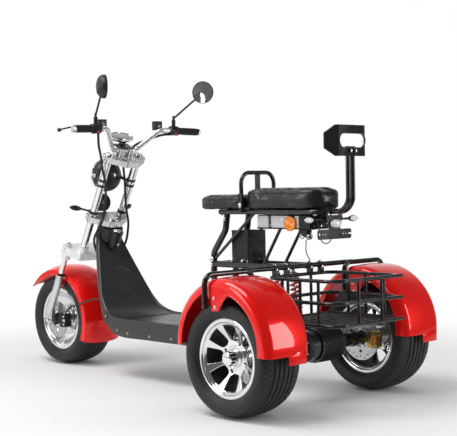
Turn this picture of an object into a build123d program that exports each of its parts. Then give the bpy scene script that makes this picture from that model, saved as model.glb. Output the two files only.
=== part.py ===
"""Electric trike scooter: one steered fat front wheel, two fat driven rear wheels.

Millimetres. +Z is up, the vehicle drives towards -Y and +X is its left side.
The ground is Z = 0 and the origin is under the middle of the vehicle's box.
"""
from build123d import *
import math
import os

os.makedirs("parts", exist_ok=True)

# ---------------------------------------------------------------- driving dimensions
WHEELBASE = 1575
TRACK = 767
REAR_AXLE_Y = 747
TYRE_RADIUS = 217
REAR_TYRE_WIDTH = 198
FRONT_TYRE_WIDTH = 184
RIM_RADIUS = 147
REAR_RIM_WIDTH = 156
FRONT_RIM_WIDTH = 150
RIM_WALL = 8
RIM_DROP = 16
TYRE_GAP = 0.3
RIM_FLANGE = 17
DISH_DEPTH = 46
DISH_WALL = 12
SPOKE_COUNT = 8
SPOKE_WIDTH = 30
HUB_RADIUS = 34
HUB_FACE_RADIUS = 62
FRONT_DISC_RADIUS = 87
REAR_DISC_RADIUS = 92
DISC_OFFSET = 16
FRONT_SPINDLE = 16
REAR_SPINDLE = 25
RUNNING_FIT = 0.05
SEAT_GAP = 0.3

RAKE = 27
STEM_Y = REAR_AXLE_Y - 1240
STEM_Z = 703.6
FORK_TUBE_X = 83
FORK_TUBE_OFFSET = 48
FORK_TUBE_DIAMETER = 36
LEG_X = 124
CLAMP_EDGE = 26
LEG_OFFSET = 105
LEG_DIAMETER = 26
SLIDER_DIAMETER = 36
TOP_CLAMP_HEIGHT = 285
LOWER_CLAMP_HEIGHT = -20
BRIDGE_HEIGHT = -215
SLIDER_TOP = -378
CLAMP_THICKNESS = 26
STEM_DIAMETER = 40
HEAD_TUBE_DIAMETER = 58
HEAD_TUBE_LENGTH = 130

GRIP_END_X = 362
GRIP_LENGTH = 118
BAR_DIAMETER = 22
GRIP_DIAMETER = 32

FLOOR_Z = 268
FLOOR_REAR = -545
TRAY_FRONT = -985
TRAY_REAR = -560
TRAY_BOTTOM = 187
TRAY_HALF_WIDTH = 146
TRAY_WALL = 3
SHELL = 4

SEAT_RAIL_Z = 735
SEAT_RAIL_X = 74
POST_X = 62
FRAME_TUBE = 26
RAIL_TUBE = 20
BRACE_TUBE = 13
SEAT_BASE_Z = SEAT_RAIL_Z + RAIL_TUBE / 2 + SEAT_GAP
RAIL_FOOT_Z = SEAT_RAIL_Z - RAIL_TUBE / 2 - SEAT_GAP
POST_Y = REAR_AXLE_Y - 492
SEAT_SPLIT_Y = -285
HOOP_TUBE = 17
HOOP_X = SEAT_RAIL_X + RAIL_TUBE / 2 + HOOP_TUBE / 2 + SEAT_GAP
HOOP_TOP = 892
BACKREST_TUBE = 18
BACKREST_Y = 205
BACKREST_Z = 1000

CARRIER_TUBE = 20
CARRIER_Z = 521
CARRIER_Y = REAR_AXLE_Y - 72
FENDER_RADIUS = 250
FENDER_CENTRE_Z = 262
FENDER_WALL = 3.5
FENDER_LEFT = 118
FENDER_RIGHT = 106
FENDER_SKIRT = 50
FENDER_ROUND = 34
FENDER_START = -5
FENDER_STEP = 103
FENDER_END = 182
FENDER_STEP_IN = 8
FENDER_BOLT = 3.2
LOBE_FRONT = -60
LOBE_REAR = 24
LOBE_TOP = 468
LOBE_BOTTOM = 389
FLAP_BOTTOM = 208
FLAP_WIDTH = 90

BASKET_HALF_WIDTH = 195
BASKET_FRONT = REAR_AXLE_Y - 70
BASKET_REAR = REAR_AXLE_Y + 298
BASKET_LEVELS = (325, 407, 488)
BASKET_TUBE = 14
BASKET_WIRE = 8
BASKET_POST = 12
BASKET_CORNER = 55

FRONT_AXLE_Y = REAR_AXLE_Y - WHEELBASE
AXLE_Z = TYRE_RADIUS
HALF_TRACK = TRACK / 2

# The steering frame: origin on the steering axis at the lower clamp, Z up the axis,
# X to the left, so that its Y points back and down.
STEER = Plane(
    origin=(0, STEM_Y, STEM_Z),
    x_dir=(1, 0, 0),
    z_dir=(0, math.sin(math.radians(RAKE)), math.cos(math.radians(RAKE))),
)
FRONT_AXLE = STEER.to_local_coords(Vector(0, FRONT_AXLE_Y, AXLE_Z))


def steer(x, y, z):
    """A point of the steering frame in the vehicle's frame."""
    return STEER.from_local_coords(Vector(x, y, z))


def aft(distance):
    """The Y of a place that far behind the rear axle."""
    return REAR_AXLE_Y + distance


def bar(points, diameter, bend=None, mode=Mode.ADD):
    """Adds a round bar along points, with bends of one radius, to the open part."""
    with BuildLine() as route:
        if len(points) > 2:
            FilletPolyline(*points, radius=bend)
        else:
            Line(*points)
    with BuildSketch(Plane(origin=route.line @ 0, z_dir=route.line % 0)) as section:
        Circle(diameter / 2)
    sweep(sections=section.sketch, path=route.line, mode=mode)


def block(x_half, y_range, z_range, corner, mode=Mode.ADD):
    """A box across the vehicle, with rounded upright edges, in the open part."""
    middle = aft((y_range[0] + y_range[1]) / 2)
    with BuildSketch(Plane.XY.offset(z_range[0])) as section:
        with Locations((0, middle)):
            RectangleRounded(2 * x_half, y_range[1] - y_range[0], corner)
    extrude(section.sketch, amount=z_range[1] - z_range[0], mode=mode)


def mirrored(points):
    """The same route on the vehicle's right side."""
    return [(-point[0], point[1], point[2]) for point in points]


def finish(part, name):
    """Labels a finished piece and writes its file."""
    part.label = name
    export_step(part, f"parts/{name}.step")


# ---------------------------------------------------------------- wheels
def web_windows(x, y, tip):
    """The windows between the spokes of a dished web, out to the tip radius."""
    root = HUB_FACE_RADIUS - 2
    half_step = math.pi / SPOKE_COUNT
    tip_half = tip * math.sin(half_step) - SPOKE_WIDTH / 2
    root_half = root * math.sin(half_step) - SPOKE_WIDTH / 2
    with BuildSketch() as window:
        with BuildLine():
            Line((tip, -tip_half), (root, -root_half))
            ThreePointArc((root, -root_half), (root - root_half, 0), (root, root_half))
            Line((root, root_half), (tip, tip_half))
            ThreePointArc((tip, tip_half), (tip + 4, 0), (tip, -tip_half))
        make_face()
    with BuildSketch(Plane(origin=(x, y, AXLE_Z), x_dir=(0, 1, 0), z_dir=(1, 0, 0))) as windows:
        with PolarLocations(0, SPOKE_COUNT):
            add(window.sketch)
    return windows.sketch


def make_wheel(name, x, y, tyre_width, rim_width, outward, disc_side, disc_radius, open_web, bore):
    """One tyre and one rim with its brake disc, about an axle along X.

    The web is dished in from the outward side, and its bore is a diameter and a depth.
    """
    spin = Axis((x, y, AXLE_Z), (1, 0, 0))
    section = Plane(origin=(x, y, AXLE_Z), x_dir=(1, 0, 0), z_dir=(0, -1, 0))
    half = tyre_width / 2
    lip = rim_width / 2
    bed = RIM_RADIUS - RIM_DROP
    bead = RIM_RADIUS + 1
    shoulder = (half - 13, TYRE_RADIUS - 12)
    with BuildPart() as tyre:
        with BuildSketch(section):
            with BuildLine():
                Line((-lip + RIM_WALL, bed + TYRE_GAP), (lip - RIM_WALL, bed + TYRE_GAP))
                Line((lip - RIM_WALL, bed + TYRE_GAP), (lip - RIM_WALL, bead))
                Line((lip - RIM_WALL, bead), (lip + 3, bead + 3))
                ThreePointArc((lip + 3, bead + 3), (half, (bead + TYRE_RADIUS) / 2), shoulder)
                ThreePointArc(shoulder, (0, TYRE_RADIUS), (-shoulder[0], shoulder[1]))
                ThreePointArc(
                    (-shoulder[0], shoulder[1]),
                    (-half, (bead + TYRE_RADIUS) / 2),
                    (-lip - 3, bead + 3),
                )
                Line((-lip - 3, bead + 3), (-lip + RIM_WALL, bead))
                Line((-lip + RIM_WALL, bead), (-lip + RIM_WALL, bed + TYRE_GAP))
            make_face()
        revolve(axis=spin)
    finish(tyre.part, f"{name}_tyre")
    with BuildPart() as rim:
        with BuildSketch(section):
            with BuildLine():
                Polyline(
                    (-lip, bed - RIM_WALL),
                    (lip, bed - RIM_WALL),
                    (lip, RIM_RADIUS),
                    (lip - RIM_WALL + TYRE_GAP, RIM_RADIUS),
                    (lip - RIM_WALL + TYRE_GAP, bed),
                    (-lip + RIM_WALL - TYRE_GAP, bed),
                    (-lip + RIM_WALL - TYRE_GAP, RIM_RADIUS),
                    (-lip, RIM_RADIUS),
                    close=True,
                )
            make_face()
        revolve(axis=spin)
        web_out = bed - RIM_WALL / 2
        hub_face = outward * (lip - DISH_DEPTH)
        edge_face = outward * (lip - RIM_FLANGE / 2)
        with BuildSketch(section):
            with BuildLine():
                Polyline(
                    (edge_face, web_out),
                    (hub_face, HUB_FACE_RADIUS),
                    (hub_face, 0),
                    (hub_face - outward * DISH_WALL, 0),
                    (hub_face - outward * DISH_WALL, HUB_FACE_RADIUS),
                    (edge_face - outward * DISH_WALL, web_out),
                    close=True,
                )
            make_face()
        revolve(axis=spin)
        if open_web:
            extrude(web_windows(x, y, web_out - 4), amount=lip, both=True, mode=Mode.SUBTRACT)
        with BuildSketch(Plane(origin=(x, y, AXLE_Z), z_dir=(1, 0, 0))):
            Circle(HUB_RADIUS)
        extrude(amount=lip - 8, both=True)
        disc_x = x + disc_side * (lip + DISC_OFFSET)
        with BuildSketch(Plane(origin=(disc_x, y, AXLE_Z), z_dir=(1, 0, 0))):
            Circle(disc_radius)
        extrude(amount=2, both=True)
        with BuildSketch(Plane(origin=(x, y, AXLE_Z), z_dir=(disc_side, 0, 0))):
            Circle(HUB_RADIUS)
        extrude(amount=lip + DISC_OFFSET + 1)
        with BuildSketch(Plane(origin=(x - outward * lip * 1.5, y, AXLE_Z), z_dir=(outward, 0, 0))):
            Circle(bore[0] / 2 + RUNNING_FIT)
        extrude(amount=bore[1], mode=Mode.SUBTRACT)
    finish(rim.part, f"{name}_rim")


FRONT = (0, FRONT_AXLE_Y, FRONT_TYRE_WIDTH, FRONT_RIM_WIDTH)
make_wheel("front", *FRONT, 1, 1, FRONT_DISC_RADIUS, False, (FRONT_SPINDLE, 3 * FRONT_RIM_WIDTH))
for side, outward in (("left", 1), ("right", -1)):
    place = (outward * HALF_TRACK, REAR_AXLE_Y, REAR_TYRE_WIDTH, REAR_RIM_WIDTH)
    disc = (-outward, REAR_DISC_RADIUS, True)
    make_wheel(side, *place, outward, *disc, (REAR_SPINDLE, REAR_RIM_WIDTH * 1.15))

# ---------------------------------------------------------------- fork
TUBE_SPOTS = [(-FORK_TUBE_X, -FORK_TUBE_OFFSET), (FORK_TUBE_X, -FORK_TUBE_OFFSET)]
LEG_SPOTS = [(-LEG_X, -LEG_OFFSET), (LEG_X, -LEG_OFFSET)]
RISER_TOP = 331
TUBE_TOP = TOP_CLAMP_HEIGHT + CLAMP_THICKNESS / 2 + 4


def clamp_plate(height):
    """A triple clamp centred at a height on the steering axis, with its fork tube holes."""
    reach = FORK_TUBE_X + CLAMP_EDGE
    nose = STEM_DIAMETER * 0.8
    with BuildSketch(STEER.offset(height - CLAMP_THICKNESS / 2)) as outline:
        with BuildLine():
            Polyline(
                (-reach, -FORK_TUBE_OFFSET - CLAMP_EDGE),
                (reach, -FORK_TUBE_OFFSET - CLAMP_EDGE),
                (reach, -FORK_TUBE_OFFSET + CLAMP_EDGE),
                (nose, nose),
                (-nose, nose),
                (-reach, -FORK_TUBE_OFFSET + CLAMP_EDGE),
                close=True,
            )
        make_face()
        fillet(outline.vertices(), 14)
        with Locations(*TUBE_SPOTS):
            Circle(FORK_TUBE_DIAMETER / 2, mode=Mode.SUBTRACT)
    extrude(outline.sketch, amount=CLAMP_THICKNESS)


def posts(spots, diameter, low, high, mode=Mode.ADD):
    """Round posts along the steering axis at each spot."""
    with BuildSketch(STEER.offset(low)) as section:
        with Locations(*spots):
            Circle(diameter / 2)
    extrude(section.sketch, amount=high - low, mode=mode)


with BuildPart() as steering_stem:
    clamp_plate(LOWER_CLAMP_HEIGHT)
    stem_top = LOWER_CLAMP_HEIGHT - CLAMP_THICKNESS / 2
    posts([(0, 0)], STEM_DIAMETER, stem_top - HEAD_TUBE_LENGTH - 24, stem_top)
finish(steering_stem.part, "steering_stem")

HANDLEBAR = [
    steer(0, -60, 318),
    steer(64, -60, 318),
    steer(152, -30, 436),
    steer(GRIP_END_X, 2, 445),
]

with BuildPart() as top_clamp:
    clamp_plate(TOP_CLAMP_HEIGHT)
    posts([(-28, -60), (28, -60)], 30, TOP_CLAMP_HEIGHT, RISER_TOP)
    bar([steer(-70, -60, 318), steer(70, -60, 318)], BAR_DIAMETER, mode=Mode.SUBTRACT)
finish(top_clamp.part, "top_clamp")

with BuildPart() as fork_tubes:
    posts(TUBE_SPOTS, FORK_TUBE_DIAMETER, BRIDGE_HEIGHT - 20, TUBE_TOP)
finish(fork_tubes.part, "fork_tubes")

with BuildPart() as fork_bridge:
    with BuildSketch(STEER.offset(BRIDGE_HEIGHT - 20)) as outline:
        with BuildLine():
            Polyline(
                (-LEG_X - 24, -LEG_OFFSET - 24),
                (LEG_X + 24, -LEG_OFFSET - 24),
                (LEG_X + 24, -LEG_OFFSET + 20),
                (FORK_TUBE_X + 24, -FORK_TUBE_OFFSET + 26),
                (-FORK_TUBE_X - 24, -FORK_TUBE_OFFSET + 26),
                (-LEG_X - 24, -LEG_OFFSET + 20),
                close=True,
            )
        make_face()
        fillet(outline.vertices(), 14)
    extrude(amount=34)
    posts(TUBE_SPOTS, FORK_TUBE_DIAMETER + 16, BRIDGE_HEIGHT, BRIDGE_HEIGHT + 42)
    posts(LEG_SPOTS, LEG_DIAMETER + 22, BRIDGE_HEIGHT - 46, BRIDGE_HEIGHT)
    posts(TUBE_SPOTS, FORK_TUBE_DIAMETER, BRIDGE_HEIGHT - 20, BRIDGE_HEIGHT + 60, Mode.SUBTRACT)
    posts(LEG_SPOTS, LEG_DIAMETER, BRIDGE_HEIGHT - 60, BRIDGE_HEIGHT, Mode.SUBTRACT)
finish(fork_bridge.part, "fork_bridge")

with BuildPart() as fork_legs:
    posts(LEG_SPOTS, LEG_DIAMETER, SLIDER_TOP, BRIDGE_HEIGHT)
finish(fork_legs.part, "fork_legs")

AXLE_HEIGHT = FRONT_AXLE.Z
with BuildPart() as fork_sliders:
    posts(LEG_SPOTS, SLIDER_DIAMETER, AXLE_HEIGHT + 16, SLIDER_TOP)
    for side in (-1, 1):
        with BuildSketch(Plane(origin=steer(side * LEG_X, 0, 0), x_dir=STEER.y_dir, z_dir=(1, 0, 0))):
            with BuildLine():
                Polyline(
                    (-LEG_OFFSET - 18, AXLE_HEIGHT + 50),
                    (-LEG_OFFSET + 18, AXLE_HEIGHT + 50),
                    (FRONT_AXLE.Y + 18, AXLE_HEIGHT),
                    (FRONT_AXLE.Y, AXLE_HEIGHT - 20),
                    (-LEG_OFFSET - 10, AXLE_HEIGHT - 10),
                    close=True,
                )
            make_face()
        extrude(amount=10, both=True)
    bar(
        [(-2 * LEG_X, FRONT_AXLE_Y, AXLE_Z), (2 * LEG_X, FRONT_AXLE_Y, AXLE_Z)],
        FRONT_SPINDLE,
        mode=Mode.SUBTRACT,
    )
finish(fork_sliders.part, "fork_sliders")

with BuildPart() as front_axle:
    bar([(-LEG_X - 20, FRONT_AXLE_Y, AXLE_Z), (LEG_X + 20, FRONT_AXLE_Y, AXLE_Z)], FRONT_SPINDLE)
finish(front_axle.part, "front_axle")

# ---------------------------------------------------------------- front fender
FRONT_FENDER_HALF = 103
FRONT_FENDER_CROWN = 260
FRONT_FENDER_EDGE = 238
FRONT_FENDER_LIP = 214
FRONT_FENDER_START = -23
FRONT_FENDER_ARC = 164


def ring_plane(y, z, degrees):
    """A plane through an axle along X, at an angle up from straight back."""
    angle = math.radians(degrees)
    return Plane(origin=(0, y, z), x_dir=(1, 0, 0), z_dir=(0, -math.sin(angle), math.cos(angle)))


with BuildPart() as front_fender:
    with BuildSketch(ring_plane(FRONT_AXLE_Y, AXLE_Z, FRONT_FENDER_START)):
        for inset, mode in ((0, Mode.ADD), (FENDER_WALL, Mode.SUBTRACT)):
            side = FRONT_FENDER_HALF - inset
            low = FRONT_FENDER_LIP - inset * 10
            with BuildLine():
                Polyline((-side, FRONT_FENDER_EDGE - inset), (-side, low), (side, low))
                Line((side, low), (side, FRONT_FENDER_EDGE - inset))
                ThreePointArc(
                    (side, FRONT_FENDER_EDGE - inset),
                    (0, FRONT_FENDER_CROWN - inset),
                    (-side, FRONT_FENDER_EDGE - inset),
                )
            make_face(mode=mode)
    revolve(axis=Axis((0, FRONT_AXLE_Y, AXLE_Z), (1, 0, 0)), revolution_arc=FRONT_FENDER_ARC)
    tip = FRONT_FENDER_START + FRONT_FENDER_ARC
    corners = [
        (FRONT_FENDER_LIP - 2, tip - 26),
        (FRONT_FENDER_EDGE, tip),
        (FRONT_FENDER_EDGE, tip + 8),
        (FRONT_FENDER_LIP - 24, tip + 8),
        (FRONT_FENDER_LIP - 24, tip - 30),
    ]
    turned = [(radius, math.radians(degrees)) for radius, degrees in corners]
    with BuildSketch(Plane.YZ) as taper:
        with BuildLine():
            Polyline(
                *[(FRONT_AXLE_Y + r * math.cos(a), AXLE_Z + r * math.sin(a)) for r, a in turned],
                close=True,
            )
        make_face()
    extrude(taper.sketch, amount=FRONT_FENDER_HALF + 5, both=True, mode=Mode.SUBTRACT)
    tab_reach = LEG_X - SLIDER_DIAMETER / 2 - SEAT_GAP
    for side in (1, -1):
        tab_start = side * (FRONT_FENDER_HALF - 1)
        with BuildSketch(Plane(origin=steer(tab_start, 0, 0), x_dir=STEER.y_dir, z_dir=(side, 0, 0))) as tab:
            with Locations((-LEG_OFFSET, side * (SLIDER_TOP - 10))):
                Rectangle(36, 76)
        extrude(tab.sketch, amount=tab_reach - FRONT_FENDER_HALF + 1)
finish(front_fender.part, "front_fender")

# ---------------------------------------------------------------- handlebar and what is on it
GRIP_DIRECTION = (HANDLEBAR[3] - HANDLEBAR[2]).normalized()


def on_bar(distance):
    """A point of the left grip's line, that far in from its end."""
    return HANDLEBAR[3] - GRIP_DIRECTION * distance


def both_sides(points):
    """A left side route and its mirror image."""
    left = [(point.X, point.Y, point.Z) for point in points]
    return (left, mirrored(left))


with BuildPart() as handlebar:
    for route in both_sides(HANDLEBAR):
        bar(route, BAR_DIAMETER, 36)
finish(handlebar.part, "handlebar")

with BuildPart() as grips:
    for route in both_sides([on_bar(GRIP_LENGTH), on_bar(0)]):
        bar(route, GRIP_DIAMETER)
        bar(route, BAR_DIAMETER, mode=Mode.SUBTRACT)
finish(grips.part, "grips")

CONTROL_DIAMETER = 42
with BuildPart() as hand_controls:
    for route in both_sides([on_bar(GRIP_LENGTH + 40), on_bar(GRIP_LENGTH + 2)]):
        bar(route, CONTROL_DIAMETER)
    for side in (1, -1):
        tank = on_bar(GRIP_LENGTH + 85)
        with BuildSketch(Plane(origin=(side * tank.X, tank.Y - 33, tank.Z + 2))) as reservoir:
            RectangleRounded(41, 32, 6)
        extrude(reservoir.sketch, amount=38)
        cylinder = (on_bar(GRIP_LENGTH + 94), on_bar(GRIP_LENGTH + 20))
        bar([(side * p.X, p.Y - 24, p.Z - 2) for p in cylinder], 18)
    for route in both_sides(HANDLEBAR):
        bar(route, BAR_DIAMETER + 2 * RUNNING_FIT, 36, Mode.SUBTRACT)
finish(hand_controls.part, "hand_controls")

with BuildPart() as brake_levers:
    lever = [steer(232, -44.9, 438), steer(300, -62, 430), steer(388, -66, 408)]
    for route in both_sides(lever):
        bar(route, 12, 40)
finish(brake_levers.part, "brake_levers")

MIRROR_FOOT = on_bar(GRIP_LENGTH + 20) + Vector(0, 0, CONTROL_DIAMETER / 2 + SEAT_GAP)
MIRROR_HEAD = Vector(288, aft(-917), 1275)
MIRROR_TURN = 65
MIRROR_RADIUS = 51
with BuildPart() as mirrors:
    for side in (1, -1):
        stalk = [MIRROR_FOOT, MIRROR_FOOT + Vector(0, 0, 34), MIRROR_HEAD]
        bar([(side * p.X, p.Y, p.Z) for p in stalk], 10, 12)
        angle = math.radians(MIRROR_TURN)
        facing = (-side * math.sin(angle), math.cos(angle), 0)
        centre = (side * MIRROR_HEAD.X, MIRROR_HEAD.Y, MIRROR_HEAD.Z)
        bar([(side * p.X, p.Y, p.Z) for p in stalk[:2]], 17)
        with BuildSketch(Plane(origin=centre, z_dir=facing)):
            Circle(MIRROR_RADIUS)
        extrude(amount=9)
        with BuildSketch(Plane(origin=centre, z_dir=[-part for part in facing])):
            Circle(MIRROR_RADIUS)
        extrude(amount=20, taper=42)
finish(mirrors.part, "mirrors")

with BuildPart() as instrument_pod:
    with BuildSketch(STEER.offset(RISER_TOP + SEAT_GAP)):
        with Locations((0, -72)):
            Rectangle(90, 56)
    extrude(amount=3)
    with BuildSketch(STEER.offset(RISER_TOP + SEAT_GAP)):
        with Locations((0, -84)):
            Circle(16)
    extrude(amount=20)
    with BuildSketch(STEER.offset(348)):
        with Locations((0, -104)):
            Ellipse(65, 40)
    extrude(amount=28)
finish(instrument_pod.part, "instrument_pod")

HEADLIGHT = steer(0, -125, 160)
HEADLIGHT_RADIUS = 75
HEADLIGHT_DEPTH = 58
with BuildPart() as headlight:
    with BuildSketch(Plane.YZ) as bowl:
        with BuildLine():
            Polyline((28, 0), (-HEADLIGHT_DEPTH, 0))
            Spline(
                (-HEADLIGHT_DEPTH, 0),
                (-0.55 * HEADLIGHT_DEPTH, 0.74 * HEADLIGHT_RADIUS),
                (0, HEADLIGHT_RADIUS),
                tangents=[(0, 1), (1, 0)],
            )
            Polyline((0, HEADLIGHT_RADIUS), (18, HEADLIGHT_RADIUS), (28, HEADLIGHT_RADIUS - 9), (28, 0))
        make_face()
    shell = revolve(bowl.sketch, axis=Axis.Y, mode=Mode.PRIVATE)
    add(Pos(*HEADLIGHT) * Rot(Z=180) * shell)
    for side in (1, -1):
        bar([steer(side * 62, -120, 160), steer(side * FORK_TUBE_X, -FORK_TUBE_OFFSET, 160)], 14)
    posts(TUBE_SPOTS, FORK_TUBE_DIAMETER + 2 * SEAT_GAP, 120, 200, Mode.SUBTRACT)
finish(headlight.part, "headlight")

with BuildPart() as horn:
    with BuildSketch(Plane(origin=steer(0, -108, 26), x_dir=(1, 0, 0), z_dir=(0, -1, 0))):
        Circle(40)
    extrude(amount=16, both=True)
    horn_foot = LOWER_CLAMP_HEIGHT + CLAMP_THICKNESS / 2 + 5 + SEAT_GAP
    bar([steer(0, -98, 14), steer(0, -92, horn_foot), steer(0, -60, horn_foot)], 10, 5)
finish(horn.part, "horn")

with BuildPart() as front_signals:
    for side in (1, -1):
        stalk = Vector(side * 36, -34, 0).normalized() * (FORK_TUBE_DIAMETER / 2 + SEAT_GAP)
        root = Vector(side * FORK_TUBE_X, -FORK_TUBE_OFFSET, 8) + stalk
        bar([steer(root.X, root.Y, 8), steer(side * 138, -90, 8)], 12)
        bar([steer(side * 130, -86, 8), steer(side * 178, -104, 8)], 26)
finish(front_signals.part, "front_signals")


def make_calipers(places, disc_radius, spindle):
    """Calipers over their discs, each on a plate that its axle carries.

    A place is the disc's x, the axle's y, and the side of the disc that its plate is on.
    """
    reach = disc_radius - CALIPER_BITE
    with BuildPart() as calipers:
        for disc_x, y, side in places:
            middle = Plane(origin=(disc_x, y, AXLE_Z), x_dir=(0, 1, 0), z_dir=(side, 0, 0))
            with BuildSketch(middle.offset(-CALIPER_INSIDE)) as body:
                with Locations((reach, 0)):
                    RectangleRounded(46, CALIPER_HEIGHT, 8)
            extrude(body.sketch, amount=CALIPER_INSIDE + CALIPER_OUTSIDE)
            with BuildSketch(middle.offset(PLATE_REACH)) as plate:
                Circle(28)
                with Locations((reach / 2, 0)):
                    Rectangle(reach, 30)
            extrude(plate.sketch, amount=PLATE_THICKNESS)
            with BuildSketch(middle) as slot:
                Circle(disc_radius + 5)
            extrude(slot.sketch, amount=DISC_SLOT / 2, both=True, mode=Mode.SUBTRACT)
            with BuildSketch(middle) as eye:
                Circle(spindle / 2 + SEAT_GAP)
            extrude(eye.sketch, amount=60, both=True, mode=Mode.SUBTRACT)
    return calipers.part


CALIPER_BITE = 14
CALIPER_HEIGHT = 66
CALIPER_INSIDE = 10
CALIPER_OUTSIDE = 24
PLATE_REACH = 8.5
PLATE_THICKNESS = 6
DISC_SLOT = 8
FRONT_DISC = [(FRONT_RIM_WIDTH / 2 + DISC_OFFSET, FRONT_AXLE_Y, 1)]
finish(make_calipers(FRONT_DISC, FRONT_DISC_RADIUS, FRONT_SPINDLE), "front_caliper")

# ---------------------------------------------------------------- main frame
PIVOT_Y = REAR_AXLE_Y - 448
PIVOT_Z = 258
PIVOT_PIN = 16
SHOCK_TOP_Y = REAR_AXLE_Y - 140
HEAD_TUBE_TOP = LOWER_CLAMP_HEIGHT - CLAMP_THICKNESS / 2 - 3
BEAM_Z = 520
TRAY_TOP = FLOOR_Z - SHELL - SEAT_GAP
BEAM_END = CARRIER_Y - CARRIER_TUBE / 2 - SEAT_GAP
RAIL_REAR = 110
LEFT_RAIL = [
    (SEAT_RAIL_X, aft(-430), SEAT_RAIL_Z),
    (SEAT_RAIL_X, aft(RAIL_REAR), SEAT_RAIL_Z),
    (0, aft(RAIL_REAR), SEAT_RAIL_Z),
]
RAILS = (LEFT_RAIL, mirrored(LEFT_RAIL))
CROSS_BARS = [POST_Y + 92, aft(SEAT_SPLIT_Y), aft(20)]
BOX_HALF = 64
BOX_SPAN = (-230, 58)
BOX_FLOOR_Z = 668


def seat_tubes(diameter, mode):
    """The two seat rails and their cross bars."""
    for rail in RAILS:
        bar(rail, diameter, 40, mode)
    for y in CROSS_BARS:
        bar([(-SEAT_RAIL_X, y, SEAT_RAIL_Z), (SEAT_RAIL_X, y, SEAT_RAIL_Z)], diameter, mode=mode)


with BuildPart() as main_frame:
    posts([(0, 0)], HEAD_TUBE_DIAMETER, HEAD_TUBE_TOP - HEAD_TUBE_LENGTH, HEAD_TUBE_TOP)
    down_tube = [
        steer(0, 8, HEAD_TUBE_TOP - HEAD_TUBE_LENGTH + 26),
        Vector(0, aft(-1130), 236),
        Vector(0, aft(TRAY_FRONT) + 20, 222),
    ]
    bar(down_tube, 40, 90)
    middle = aft((TRAY_FRONT + TRAY_REAR) / 2)
    with BuildSketch(Plane.XY.offset(TRAY_BOTTOM)):
        with Locations((0, middle)):
            Rectangle(2 * TRAY_HALF_WIDTH, TRAY_REAR - TRAY_FRONT)
    extrude(amount=TRAY_TOP - TRAY_BOTTOM)
    with BuildSketch(Plane.XY.offset(TRAY_BOTTOM + TRAY_WALL)):
        with Locations((0, middle)):
            Rectangle(2 * TRAY_HALF_WIDTH - 2 * TRAY_WALL, TRAY_REAR - TRAY_FRONT - 2 * TRAY_WALL)
    extrude(amount=TRAY_TOP, mode=Mode.SUBTRACT)
    for side in (1, -1):
        post = [
            (side * POST_X, aft(TRAY_REAR) - 2, 215),
            (side * POST_X, POST_Y, 215),
            (side * POST_X, POST_Y + 8, 568),
            (side * POST_X, POST_Y + 80, 660),
            (side * POST_X, POST_Y + 92, SEAT_RAIL_Z),
        ]
        bar(post, FRAME_TUBE, 50)
        bar([(side * POST_X, POST_Y + 4, BEAM_Z), (side * POST_X, BEAM_END, BEAM_Z)], FRAME_TUBE)
        bar([(side * POST_X, aft(-472), 546), (side * POST_X, aft(-238), SEAT_RAIL_Z)], BRACE_TUBE)
        bar([(side * POST_X, aft(-200), BEAM_Z), (side * POST_X, aft(-95), 680)], BRACE_TUBE)
        with BuildSketch(Plane.YZ.offset(side * 100)):
            with BuildLine():
                Polyline(
                    (POST_Y - 16, PIVOT_Z + 22),
                    (PIVOT_Y + 16, PIVOT_Z + 22),
                    (PIVOT_Y + 16, PIVOT_Z - 22),
                    (POST_Y - 16, PIVOT_Z - 22),
                    close=True,
                )
            make_face()
        extrude(amount=4, both=True)
    for y, z in ((POST_Y + 4, BEAM_Z), (SHOCK_TOP_Y, BEAM_Z)):
        bar([(-POST_X, y, z), (POST_X, y, z)], RAIL_TUBE)
    bar([(-100, POST_Y + 2, PIVOT_Z), (100, POST_Y + 2, PIVOT_Z)], RAIL_TUBE)
    bar([(-102, PIVOT_Y, PIVOT_Z), (102, PIVOT_Y, PIVOT_Z)], PIVOT_PIN)
    seat_tubes(RAIL_TUBE + 2 * SEAT_GAP, Mode.SUBTRACT)
    block(90, BOX_SPAN, (BOX_FLOOR_Z - SEAT_GAP, SEAT_RAIL_Z - RAIL_TUBE), 6, Mode.SUBTRACT)
    posts([(0, 0)], STEM_DIAMETER + 2 * RUNNING_FIT, -400, 0, Mode.SUBTRACT)
finish(main_frame.part, "main_frame")

with BuildPart() as battery:
    with BuildSketch(Plane.XY.offset(TRAY_BOTTOM + TRAY_WALL)):
        with Locations((0, aft((TRAY_FRONT + TRAY_REAR) / 2))):
            Rectangle(2 * TRAY_HALF_WIDTH - 20, TRAY_REAR - TRAY_FRONT - 70)
    extrude(amount=70)
finish(battery.part, "battery")

with BuildPart() as seat_frame:
    seat_tubes(RAIL_TUBE, Mode.ADD)
finish(seat_frame.part, "seat_frame")

# ---------------------------------------------------------------- leg shield and neck
NECK_DIAMETER = 116
HOOD_TOP = HEAD_TUBE_TOP - 4
HOOD_BOTTOM = HOOD_TOP - 62
HOUSING_SPOT = [(0, 56)]
HOUSING_DIAMETER = 56
HOUSING_BOTTOM = HOOD_TOP - 80
NECK_CLEARANCE = 2
RIDER_LINE = [(-1268, 640), (-1240, 553), (-1150, 362), (-1090, 293), (-1000, FLOOR_Z)]
FRONT_LINE = [(-960, 186), (-1030, 200), (-1106, 262), (-1165, 350), (-1262, 548), (-1296, 640)]
SHIELD_WIDTHS = [(60, 645), (66, 610), (85, 553), (143, 362), (158, 300), (172, 268), (172, 100)]


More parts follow.
